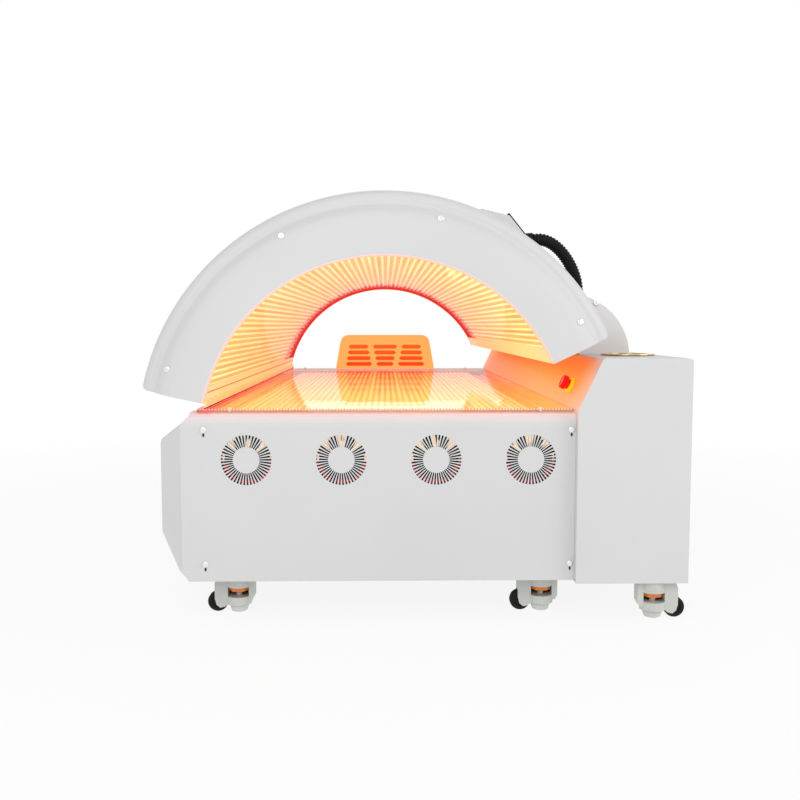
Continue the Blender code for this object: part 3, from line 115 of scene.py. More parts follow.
class Socket:
    """A shader value whose operators add Math nodes."""

    def __init__(self, shader: "Shader", output: bpy.types.NodeSocket) -> None:
        """Wrap an output socket of a shader's tree."""
        self.shader = shader
        self.output = output

    def _math(self, operation: str, *values: Value) -> "Socket":
        """Add a Math node of these values."""
        return self.shader.node("ShaderNodeMath", {"operation": operation}, dict(enumerate(values)))

    def __add__(self, other: Value) -> "Socket":
        """Sum."""
        return self._math("ADD", self, other)

    __radd__ = __add__

    def __sub__(self, other: Value) -> "Socket":
        """Difference."""
        return self._math("SUBTRACT", self, other)

    def __rsub__(self, other: Value) -> "Socket":
        """Difference from a number."""
        return self._math("SUBTRACT", other, self)

    def __mul__(self, other: Value) -> "Socket":
        """Product."""
        return self._math("MULTIPLY", self, other)

    __rmul__ = __mul__

    def __pow__(self, other: Value) -> "Socket":
        """Power."""
        return self._math("POWER", self, other)

    def root(self) -> "Socket":
        """Square root."""
        return self._math("SQRT", self)

    def wrap(self, period: float) -> "Socket":
        """The remainder after whole periods."""
        return self._math("FLOORED_MODULO", self, period)

    def bearing(self, across: "Socket") -> "Socket":
        """The angle of the point (across, self), in radians."""
        return self._math("ARCTAN2", self, across)

    def size(self) -> "Socket":
        """The value without its sign."""
        return self._math("ABSOLUTE", self)

    def most(self, other: Value) -> "Socket":
        """The larger of two values."""
        return self._math("MAXIMUM", self, other)

    def above(self, edge: float) -> "Socket":
        """One where the value is over an edge, else nought."""
        return self._math("GREATER_THAN", self, edge)

    def ramp(self, low: float, high: float) -> "Socket":
        """The value's place between low and high, clamped from 0 to 1."""
        return self.shader.node(
            "ShaderNodeMapRange", {"clamp": True}, {"Value": self, "From Min": low, "From Max": high})


class Shader:
    """The node tree of one material, or of the studio's world."""

    def __init__(self, name: str, world: bool = False) -> None:
        """Start an empty tree in a new material or world.

        Args:
            name: Its name.
            world: Whether it lights the studio in place of covering a piece.
        """
        self.owner = bpy.data.worlds.new(name) if world else bpy.data.materials.new(name)
        self.ending = "ShaderNodeOutputWorld" if world else "ShaderNodeOutputMaterial"
        self.owner.use_nodes = True
        self.tree = self.owner.node_tree
        self.tree.nodes.clear()
        self._object: Socket | None = None

    def node(self, kind: str, settings: dict | None = None, inputs: dict | None = None,
             output: Union[int, str] = 0) -> Socket:
        """Add a node.

        Args:
            kind: The node's type name.
            settings: Its properties, set before its sockets.
            inputs: Values or sockets by the input's name or number.
            output: The output to return.

        Returns:
            The chosen output.
        """
        return Socket(self, self._add(kind, settings, inputs).outputs[output])

    def _add(self, kind: str, settings: dict | None, inputs: dict | None) -> bpy.types.Node:
        """Add a node, set its properties and fill or link its inputs.

        Args:
            kind: The node's type name.
            settings: Its properties.
            inputs: Values or sockets by the input's name or number.

        Returns:
            The node.
        """
        made = self.tree.nodes.new(kind)
        for key, value in (settings or {}).items():
            setattr(made, key, value)
        for key, value in (inputs or {}).items():
            if isinstance(value, Socket):
                self.tree.links.new(value.output, made.inputs[key])
            elif isinstance(value, tuple) and made.inputs[key].type == "RGBA":
                made.inputs[key].default_value = (*value, 1.0)
            else:
                made.inputs[key].default_value = value
        return made

    def place(self) -> Socket:
        """The point on the piece, in metres.

        Returns:
            The point.
        """
        if self._object is None:
            self._object = self.node("ShaderNodeTexCoord", output="Object")
        return self._object

    def axis(self, name: str) -> Socket:
        """One coordinate of the point."""
        return self.node("ShaderNodeSeparateXYZ", None, {0: self.place()}, name)

    def radius(self) -> Socket:
        """The distance from the canopy's axis.

        Returns:
            The distance.
        """
        across = self.axis("X") - BED_AXIS_X
        height = self.axis("Z") - ARC_Z
        return (across * across + height * height).root()

    def noise(self, scale: float, detail: float = 3.0, stretch: Colour = WHITE) -> Socket:
        """Noise over the piece, from 0 to 1.

        Args:
            scale: Waves to the metre.
            detail: Finer octaves.
            stretch: A scale for each axis.

        Returns:
            The noise value.
        """
        where = self.node("ShaderNodeMapping", None, {"Vector": self.place(), "Scale": Vector(stretch)})
        return self.node("ShaderNodeTexNoise", None, {"Vector": where, "Scale": scale, "Detail": detail})

    def mix(self, factor: Value, first: Union[Colour, Socket], second: Union[Colour, Socket]) -> Socket:
        """Blend two colours."""
        return self.node(
            "ShaderNodeMix", {"data_type": "RGBA"}, {0: factor, 6: first, 7: second}, 2)

    def bump(self, height: Socket, distance: float) -> Socket:
        """A normal raised by a height."""
        return self.node("ShaderNodeBump", None, {"Height": height, "Distance": distance, "Strength": 1.0})

    def surface(self, **values: Union[Value, Colour]) -> bpy.types.Material:
        """Close the tree with a Principled shader.

        Args:
            values: Its inputs, with underscores for spaces.

        Returns:
            The finished material.
        """
        inputs = {key.replace("_", " "): value for key, value in values.items()}
        shader = self.node("ShaderNodeBsdfPrincipled", None, inputs)
        return self.close(shader)

    def close(self, shader: Socket) -> Union[bpy.types.Material, bpy.types.World]:
        """Link a shader to the tree's output and hand over what the tree belongs to."""
        self._add(self.ending, None, {"Surface": shader})
        return self.owner


@dataclass(frozen=True)
class PowderCoat:
    """Satin white coat with orange peel and faint handling marks, with painted lamp light where it spills over
    and painted shade behind the near panel.
    """

    name: str = "white coat"
    colour: Colour = (0.70, 0.70, 0.705)
    shade: Colour = (0.66, 0.66, 0.67)
    peel_scale: float = 420.0
    peel_depth: float = 0.00006
    lit: Lit = Lit.NOWHERE
    light: Colour = (1.0, 0.3, 0.2)
    level: float = 0.4
    painted_lamp_tint: float = 0.0
    painted_lamp_tint_to: Colour = (0.60, 0.04, 0.015)
    dark_line_z: float = 0.0
    dark_line: Colour = (0.50, 0.13, 0.015)
    dark_line_half: Span = (0.0010, 0.0022)
    top_edge_z: Span = (0.490, 0.530)
    painted_panel_shade_y: Span = (-1.0997, -1.0990)
    painted_panel_shade_z: Span = (0.495, 0.505)
    painted_panel_shade: Colour = (0.02, 0.02, 0.02)
    slope_x: Span = (0.462, 0.472)
    slope_y: Span = (-1.12, -0.95)
    slope_z: Span = (0.50, 0.60)
    painted_slope_light_z: Span = (0.61, 0.66)
    painted_slope_light_low: Colour = (0.78, 0.37, 0.07)
    painted_slope_light_high: Colour = (0.78, 0.20, 0.06)
    lip_radius: Span = (0.4675, 0.4715)
    wall_radius: Span = (0.485, 0.525)
    wall_y: Span = (1.066, 1.071)

    def spill(self, shader: Shader) -> Socket:
        """The share of painted lamp light at a point, from 0 to 1.

        Args:
            shader: The material's tree.

        Returns:
            The share.
        """
        if self.lit is Lit.TOP_EDGE:
            return shader.axis("Z").ramp(*self.top_edge_z) ** 2.0
        if self.lit is Lit.SLOPE:
            inward = shader.axis("Z").ramp(*self.slope_z) * (1.0 - shader.axis("X").ramp(*self.slope_x))
            return inward * (0.35 + 0.65 * shader.axis("Y").ramp(*self.slope_y))
        radius = shader.radius()
        lip = 1.0 - radius.ramp(*self.lip_radius)
        if self.lit is Lit.RAIL:
            return lip
        wall = (1.0 - radius.ramp(*self.wall_radius)) * (1.0 - shader.axis("Y").size().ramp(*self.wall_y))
        return lip + wall * (1.0 - lip)

    def material(self) -> bpy.types.Material:
        """Make the material.

        Returns:
            The material.
        """
        shader = Shader(self.name)
        cloud = shader.noise(3.0, 4.0)
        scuff = shader.noise(38.0, 5.0)
        colour = shader.mix(cloud.ramp(0.35, 0.75) * 0.6, self.colour, self.shade)
        # On the cabinet's slope the base colour is painted orange with lamp light, which also glows.
        if self.lit is Lit.SLOPE:
            warm = shader.mix(shader.axis("Z").ramp(*self.painted_slope_light_z), self.painted_slope_light_low, self.painted_slope_light_high)
            colour = shader.mix(self.spill(shader) * 0.92, colour, warm)
        # Behind the near panel's front face, up to 0.5 m high, its inner side and slot walls are painted near
        # black: painted shade.
        elif self.lit is Lit.TOP_EDGE:
            low = 1.0 - shader.axis("Z").ramp(*self.painted_panel_shade_z)
            colour = shader.mix(shader.axis("Y").ramp(*self.painted_panel_shade_y) * low, colour, self.painted_panel_shade)
        # Elsewhere the base colour is painted towards the lamp light's colour.
        elif self.painted_lamp_tint > 0.0:
            colour = shader.mix(self.spill(shader) * self.painted_lamp_tint, colour, self.painted_lamp_tint_to)
        peel = shader.noise(self.peel_scale, 2.0)
        values = {
            "Roughness": 0.48 + 0.10 * scuff.ramp(0.3, 0.8), "Normal": shader.bump(peel, self.peel_depth),
            "Specular_IOR_Level": 0.25}
        # The lamp light's spill is painted in as emission, though the coat is no lamp.
        if self.lit is not Lit.NOWHERE:
            lit = self.spill(shader)
            # A dark orange line is painted along the rail at one height, and the painted lamp light is left
            # out of it.
            if self.dark_line_z > 0.0:
                dark_line = 1.0 - (shader.axis("Z") - self.dark_line_z).size().ramp(*self.dark_line_half)
                colour = shader.mix(dark_line * lit, colour, self.dark_line)
                lit = lit * (1.0 - dark_line)
            values |= {"Emission_Color": shader.mix(lit, UNLIT, self.light), "Emission_Strength": self.level}
        return shader.surface(Base_Color=colour, **values)


@dataclass(frozen=True)
class SheetSteel:
    """Bare grey sheet steel with rolling marks."""

    name: str = "grey sheet steel"
    colour: Colour = (0.30, 0.31, 0.32)
    dark: Colour = (0.22, 0.22, 0.23)

    def material(self) -> bpy.types.Material:
        """Make the material.

        Returns:
            The material.
        """
        shader = Shader(self.name)
        grain = shader.noise(60.0, 4.0, (1.0, 0.06, 1.0))
        colour = shader.mix(grain, self.dark, self.colour)
        return shader.surface(
            Base_Color=colour, Metallic=0.8, Roughness=0.36 + 0.2 * grain, Normal=shader.bump(grain, 0.00005))


@dataclass(frozen=True)
class ClearSheet:
    """Clear acrylic that passes the lamp light and mirrors what stands on it, painted with the lamp light's
    colour.
    """

    name: str
    near: Colour = (1.0, 0.78, 0.40)
    far: Colour = (1.0, 0.58, 0.28)
    cover: float = 0.10
    index: float = 1.49
    gloss: float = 0.28

    def shade(self, shader: Shader) -> tuple[Socket, Value, Socket]:
        """The sheet's painted lamp-light colour, its cover and its own light.

        Args:
            shader: The material's tree.

        Returns:
            Base colour, alpha and emission colour.
        """
        # The sheet is painted with the lamp light's colour, paler at the near end and more orange towards the
        # far end.
        along = shader.axis("Y").ramp(-HALF_LENGTH * 0.8, HALF_LENGTH * 0.4)
        painted_lamp_tint = shader.mix(along, self.near, self.far)
        return painted_lamp_tint, self.cover, shader.mix(0.0, UNLIT, painted_lamp_tint)

    def material(self) -> bpy.types.Material:
        """Make the material.

        Returns:
            The material.
        """
        shader = Shader(self.name)
        smear = shader.noise(9.0, 5.0, (1.0, 0.4, 1.0))
        colour, cover, glow = self.shade(shader)
        mirror = shader.node("ShaderNodeFresnel", None, {"IOR": self.index})
        return shader.surface(
            Base_Color=colour, Roughness=0.015 * smear.ramp(0.5, 0.85), IOR=self.index,
            Alpha=cover + self.gloss * mirror, Emission_Color=glow, Emission_Strength=0.6,
            Normal=shader.bump(shader.noise(6.0, 1.0), 0.00003))


@dataclass(frozen=True)
class BedSheet(ClearSheet):
    """The lying sheet: a red band beside the lamps, whose glow is painted light, and mauve cut edges with
    painted dots of lamp light.
    """

    band: Colour = (0.92, 0.07, 0.05)
    edge: Colour = (0.30, 0.20, 0.23)
    painted_tube_light: Colour = (0.75, 0.56, 0.34)
    band_from: float = -0.515
    edge_x: float = -0.5494
    edge_y: float = 1.0888
    painted_tube_light_pitch: float = 0.0078
    painted_tube_light_z: float = 0.5368

    def shade(self, shader: Shader) -> tuple[Socket, Value, Socket]:
        """The sheet's colour, its cover and its painted light.

        Args:
            shader: The material's tree.

        Returns:
            Base colour, alpha and emission colour.
        """
        painted_lamp_tint, _, _ = super().shade(shader)
        side = 1.0 - shader.axis("X").ramp(self.band_from - 0.008, self.band_from + 0.006)
        ends = shader.axis("Y").size().above(self.edge_y)
        cut = ends + (0.0 - shader.axis("X")).above(-self.edge_x) * (1.0 - ends)
        # Painted dots of lamp light along the cut edges at the ends, where the tube ends show through.
        off = (shader.axis("X").wrap(self.painted_tube_light_pitch) - self.painted_tube_light_pitch / 2).size()
        painted_tube_light = ends * shader.axis("Z").above(self.painted_tube_light_z) * (1.0 - off.ramp(0.0014, 0.0024))
        colour = shader.mix(cut, shader.mix(side, painted_lamp_tint, self.band), shader.mix(painted_tube_light, self.edge, self.painted_tube_light))
        # The red band glows: painted light on a sheet that is no lamp.
        glow = shader.mix(side * (1.0 - cut), UNLIT, self.band)
        cover = self.cover + 0.75 * side * (1.0 - cut) + 0.55 * cut
        return colour, cover, shader.mix(painted_tube_light, glow, self.painted_tube_light)


@dataclass(frozen=True)
class LitVent:
    """Moulding lit orange by painted lamp light, painted a darker red inside its slots as shade."""

    name: str = "orange vent"
    face: Colour = (0.94, 0.58, 0.20)
    inside: Colour = (0.90, 0.16, 0.006)
    foot: Colour = (0.88, 0.075, 0.004)
    depth_from: float = 1.0475
    glow: float = 0.42

    def material(self) -> bpy.types.Material:
        """Make the material.

        Returns:
            The material.
        """
        shader = Shader(self.name)
        # Inside the slots the colour is painted a deeper red, deeper still low down: painted shade.
        deep = shader.axis("Y").ramp(self.depth_from, self.depth_from + 0.002)
        slot = shader.mix(shader.axis("Z").ramp(0.56, 0.65), self.foot, self.inside)
        colour = shader.mix(deep * 0.95, self.face, slot)
        fine = shader.noise(700.0, 2.0)
        # The vent glows with its own colour: painted lamp light, though it is no lamp.
        return shader.surface(
            Base_Color=colour, Emission_Color=colour, Emission_Strength=self.glow,
            Roughness=0.40 + 0.1 * shader.noise(20.0), Normal=shader.bump(fine, 0.00004))


@dataclass(frozen=True)
class FanLight:
    """Lamp light seen through the grilles: red low down, pale orange patches above."""

    name: str = "light behind the fans"
    first_x: float = -0.42671
    pitch: float = 0.2395
    middle_z: float = 0.411
    low: Colour = (0.36, 0.012, 0.008)
    high: Colour = (1.0, 0.70, 0.42)
    strength: float = 0.9
    gaps: int = 8
    gap_half: float = 0.20

    def material(self) -> bpy.types.Material:
        """Make the material.

        Returns:
            The material.
        """
        shader = Shader(self.name)
        across = (shader.axis("X") - (self.first_x - self.pitch / 2)).wrap(self.pitch) - self.pitch / 2
        height = shader.axis("Z") - self.middle_z
        radius = (across * across + height * height).root()
        patch = shader.noise(34.0, 2.0).ramp(0.36, 0.48)
        gap = 2 * math.pi / self.gaps
        off = ((height.bearing(across) + gap / 2).wrap(gap) - gap / 2).size()
        wedge = 1.0 - off.ramp(self.gap_half - 0.03, self.gap_half + 0.03)
        upper = wedge * height.ramp(-0.010, -0.004) * patch
        lower = (0.0 - height).ramp(-0.012, 0.020) * radius.ramp(0.052, 0.060)
        dark = shader.mix(lower, (0.004, 0.003, 0.003), self.low)
        glow = shader.mix(upper, dark, self.high)
        return shader.surface(
            Base_Color=glow, Emission_Color=glow, Emission_Strength=self.strength, Roughness=0.5 + 0.2 * patch)


@dataclass(frozen=True)
class LampGlow:
    """A lit lamp or lamp board: pale yellow near the foot, orange to red towards the head."""

    name: str
    pale: Colour
    warm: Colour
    deep: Colour
    strength: float
    patch: float = 14.0
    sleeve_from: float = 2.0
    sleeve: Colour = (0.55, 0.03, 0.03)
    back_from: float = 0.0
    back: Colour = (0.46, 0.46, 0.47)

    def material(self) -> bpy.types.Material:
        """Make the material.

        Returns:
            The material.
        """
        shader = Shader(self.name)
        along = shader.axis("Y").ramp(-HALF_LENGTH, HALF_LENGTH)
        streak = shader.noise(self.patch, 3.0, (4.0, 0.12, 4.0))
        near = shader.mix(streak.ramp(0.35, 0.65), self.pale, self.warm)
        glow = shader.mix(along ** 1.6, near, self.deep)
        if self.sleeve_from < HALF_LENGTH:
            ends = shader.axis("Y").ramp(self.sleeve_from, self.sleeve_from + 0.03)
            glow = shader.mix(ends, glow, self.sleeve)
        colour = glow
        if self.back_from > 0.0:
            behind = shader.radius().ramp(self.back_from, self.back_from + 0.001)
            colour = shader.mix(behind, glow, self.back)
            glow = shader.mix(behind, glow, UNLIT)
        return shader.surface(
            Base_Color=colour, Emission_Color=glow, Emission_Strength=self.strength,
            Roughness=0.35 + 0.1 * streak, Normal=shader.bump(streak, 0.0001))


@dataclass(frozen=True)
class Moulding:
    """Moulded plastic with a fine grain and a little fading."""

    name: str
    colour: Colour
    shade: Colour
    rough: float
    grain: float = 900.0
    depth: float = 0.00004
    glow: float = 0.0
    shine: float = 0.5

    def material(self) -> bpy.types.Material:
        """Make the material.

        Returns:
            The material.
        """
        shader = Shader(self.name)
        cloud = shader.noise(14.0, 4.0)
        colour = shader.mix(cloud.ramp(0.3, 0.75), self.colour, self.shade)
        fine = shader.noise(self.grain, 2.0)
        values = {
            "Base_Color": colour, "Roughness": self.rough + 0.12 * cloud,
            "Normal": shader.bump(fine, self.depth), "Specular_IOR_Level": self.shine}
        # A glow on a moulding is painted light, as it is no lamp.
        if self.glow > 0.0:
            values |= {"Emission_Color": colour, "Emission_Strength": self.glow}
        return shader.surface(**values)


@dataclass(frozen=True)
class Polished:
    """Polished stainless steel with faint turning marks."""

    name: str = "polished steel"
    colour: Colour = (0.90, 0.89, 0.87)
    mark: Colour = (0.78, 0.77, 0.76)

    def material(self) -> bpy.types.Material:
        """Make the material.

        Returns:
            The material.
        """
        shader = Shader(self.name)
        mark = shader.noise(240.0, 3.0, (1.0, 1.0, 6.0))
        return shader.surface(
            Base_Color=shader.mix(mark, self.colour, self.mark), Metallic=1.0,
            Roughness=0.12 + 0.12 * mark, Normal=shader.bump(mark, 0.00003))


def deselect() -> None:
    """Leave edit mode and clear the selection."""
    if bpy.context.object and bpy.context.object.mode != "OBJECT":
        bpy.ops.object.mode_set(mode="OBJECT")
    bpy.ops.object.select_all(action="DESELECT")


def pick(obj: bpy.types.Object) -> None:
    """Make one object the only selected and the active one.

    Args:
        obj: The object.
    """
    deselect()
    obj.select_set(True)
    bpy.context.view_layer.objects.active = obj


def settle(obj: bpy.types.Object) -> bpy.types.Object:
    """Put an object's place into its mesh.

    Args:
        obj: The object.

    Returns:
        The same object.
    """
    pick(obj)
    bpy.ops.object.transform_apply(location=True, rotation=True, scale=True)
    return obj


def modify(obj: bpy.types.Object, kind: str, **settings: object) -> None:
    """Add a modifier and apply it.

    Args:
        obj: The piece.
        kind: The modifier's type.
        settings: Its properties.
    """
    pick(obj)
    step = obj.modifiers.new(kind.lower(), kind)
    for key, value in settings.items():
        setattr(step, key, value)
    bpy.ops.object.modifier_apply(modifier=step.name)


def ease(obj: bpy.types.Object, width: float, segments: int = 2) -> None:
    """Round a piece's sharp edges."""
    modify(obj, "BEVEL", width=width, segments=segments, limit_method="ANGLE")


def work_faces(obj: bpy.types.Object, test: Callable[[Vector, Vector], bool], insets: Sequence[Span] = (),
               shift: Sequence[float] | None = None, drop: bool = False) -> None:
    """Inset the faces that pass a test, step by step, then draw them out or delete them.

    Args:
        obj: The piece.
        test: Takes a face's centre and normal.
        insets: The thickness and depth of each inset.
        shift: How far the faces are drawn out.
        drop: Whether they are deleted at the end.
    """
    pick(obj)
    bpy.ops.object.mode_set(mode="EDIT")
    bpy.ops.mesh.select_mode(type="FACE")
    bpy.ops.mesh.select_all(action="DESELECT")
    mesh = bmesh.from_edit_mesh(obj.data)
    for face in mesh.faces:
        face.select_set(test(face.calc_center_median(), face.normal))
    bmesh.update_edit_mesh(obj.data)
    for thickness, depth in insets:
        bpy.ops.mesh.inset(thickness=thickness, depth=depth)
    if shift is not None:
        bpy.ops.mesh.extrude_region_move(TRANSFORM_OT_translate={"value": shift})
    if drop:
        bpy.ops.mesh.delete(type="FACE")
    bpy.ops.object.mode_set(mode="OBJECT")


def cylinder(radius: float, depth: float, vertices: int, at: Sequence[float] = (0.0, 0.0, 0.0),
             level: bool = False, ends: str = "NGON") -> bpy.types.Object:
    """Add a round bar to work on.

    Args:
        radius: Its radius.
        depth: Its length.
        vertices: Its sides.
        at: Its middle.
        level: Whether it lies along Y and doesn't stand along Z.
        ends: How its ends are filled.

    Returns:
        The bar.
    """
    deselect()
    bpy.ops.mesh.primitive_cylinder_add(
        vertices=vertices, radius=radius, depth=depth, end_fill_type=ends, location=at,
        rotation=(math.pi / 2 if level else 0.0, 0.0, 0.0))
    return settle(bpy.context.object)


def block(size: Sequence[float], at: Sequence[float] = (0.0, 0.0, 0.0), turn: float = 0.0) -> bpy.types.Object:
    """Add a square bar to work on.

    Args:
        size: Its three sides.
        at: Its middle.
        turn: Its turn about Z.

    Returns:
        The bar.
    """
    deselect()
    bpy.ops.mesh.primitive_cube_add(size=1.0, location=at, rotation=(0.0, 0.0, turn))
    made = bpy.context.object
    made.scale = size
    return settle(made)


def flat_ring(outer: float, inner: float, vertices: int) -> bpy.types.Object:
    """Take the middle out of a disc.

    Args:
        outer: The disc's radius.
        inner: The hole's radius.
        vertices: The corners of each edge.

    Returns:
        The ring.
    """
    deselect()
    bpy.ops.mesh.primitive_circle_add(vertices=vertices, radius=outer, fill_type="NGON")
    ring = settle(bpy.context.object)
    work_faces(ring, lambda centre, normal: True, [(outer - inner, 0.0)], drop=True)
    return ring


def copy_to(obj: bpy.types.Object, name: str, place: Matrix) -> bpy.types.Object:
    """Copy a piece, with its own mesh moved to a place.

    Args:
        obj: The pattern.
        name: The copy's name.
        place: Where it goes.

    Returns:
        The copy.
    """
    mesh = obj.data.copy()
    mesh.transform(place)
    made = bpy.data.objects.new(name, mesh)
    bpy.context.scene.collection.objects.link(made)
    return made


def merge(pieces: Sequence[bpy.types.Object], name: str) -> bpy.types.Object:
    """Join pieces into one object.

    Args:
        pieces: The pieces.
        name: The object's name.

    Returns:
        The first piece, with the rest in it.
    """
    deselect()
    for piece in pieces:
        piece.select_set(True)
    bpy.context.view_layer.objects.active = pieces[0]
    if len(pieces) > 1:
        bpy.ops.object.join()
    pieces[0].name = name
    pieces[0].data.name = name
    return pieces[0]


def outline(points: Sequence[Vector], name: str) -> bpy.types.Object:
    """Lay a flat face through points: a filled circle whose corners are moved there.

    Args:
        points: The corners, in order.
        name: The piece's name.

    Returns:
        The face.
    """
    deselect()
    bpy.ops.mesh.primitive_circle_add(vertices=len(points), radius=1.0, fill_type="NGON")
    face = bpy.context.object
    face.name = name
    for corner, point in zip(face.data.vertices, points):
        corner.co = point
    face.data.update()
    return face


def close_up(obj: bpy.types.Object) -> None:
    """Merge doubled corners and turn every face outwards.

    Args:
        obj: The piece.
    """
    pick(obj)
    bpy.ops.object.mode_set(mode="EDIT")
    bpy.ops.mesh.select_all(action="SELECT")
    bpy.ops.mesh.remove_doubles(threshold=0.00002)
    bpy.ops.mesh.normals_make_consistent(inside=False)
    bpy.ops.object.mode_set(mode="OBJECT")


def sweep_arch(face: bpy.types.Object, degrees: float, steps: int) -> None:
    """Spin a face about the arch's axis into a closed solid.

    Args:
        face: The face, standing at the arch's right end.
        degrees: How far it turns.
        steps: Faces along the arch.
    """
    pick(face)
    bpy.ops.object.mode_set(mode="EDIT")
    bpy.ops.mesh.select_all(action="SELECT")
    bpy.ops.mesh.spin(
        steps=steps, angle=math.radians(degrees), center=bed_point(0.0, 0.0, ARC_Z), axis=(0.0, 1.0, 0.0))
    bpy.ops.object.mode_set(mode="OBJECT")
    close_up(face)


def extrude(face: bpy.types.Object, shift: tuple[float, float, float]) -> None:
    """Draw a face out into a closed prism.

    Args:
        face: The face.
        shift: How far its copy moves.
    """
    pick(face)
    bpy.ops.object.mode_set(mode="EDIT")
    bpy.ops.mesh.select_all(action="SELECT")
    bpy.ops.mesh.extrude_region_move(TRANSFORM_OT_translate={"value": shift})
    bpy.ops.object.mode_set(mode="OBJECT")
    close_up(face)


def carve(obj: bpy.types.Object, cutter: bpy.types.Object) -> None:
    """Cut one shape out of another and drop the cutter."""
    modify(obj, "BOOLEAN", operation="DIFFERENCE", solver="EXACT", object=cutter)
    discard(cutter)


def discard(obj: bpy.types.Object) -> None:
    """Delete a pattern piece once its copies are made."""
    bpy.data.objects.remove(obj, do_unlink=True)


def facing(point: Vector, normal: Vector) -> Matrix:
    """A place whose Z axis points along a normal."""
    return Matrix.Translation(point) @ normal.to_track_quat("Z", "Y").to_matrix().to_4x4()


def bed_point(x: float, y: float, z: float) -> Vector:
    """A point given from the bed's own middle line."""
    return Vector((x + BED_AXIS_X, y, z))


def arc_point(radius: float, degrees: float, y: float) -> Vector:
    """A point of the canopy at a radius and angle about its arc's centre."""
    turn = math.radians(degrees)
    return bed_point(radius * math.cos(turn), y, ARC_Z + radius * math.sin(turn))


def dress(obj: bpy.types.Object, material: bpy.types.Material, body: str,
          angle: float = 35.0) -> bpy.types.Object:
    """Finish a piece: smooth shading, material and body.

    Args:
        obj: The piece.
        material: Its finish.
        body: The body that it rides on.
        angle: Edges sharper than this stay sharp, in degrees.

    Returns:
        The piece.
    """
    pick(obj)
    bpy.ops.object.shade_smooth_by_angle(angle=math.radians(angle))
    obj.data.materials.clear()
    obj.data.materials.append(material)
    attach(obj, body)
    LOG.info("%s: %d faces on %s", obj.name, len(obj.data.polygons), body)
    return obj


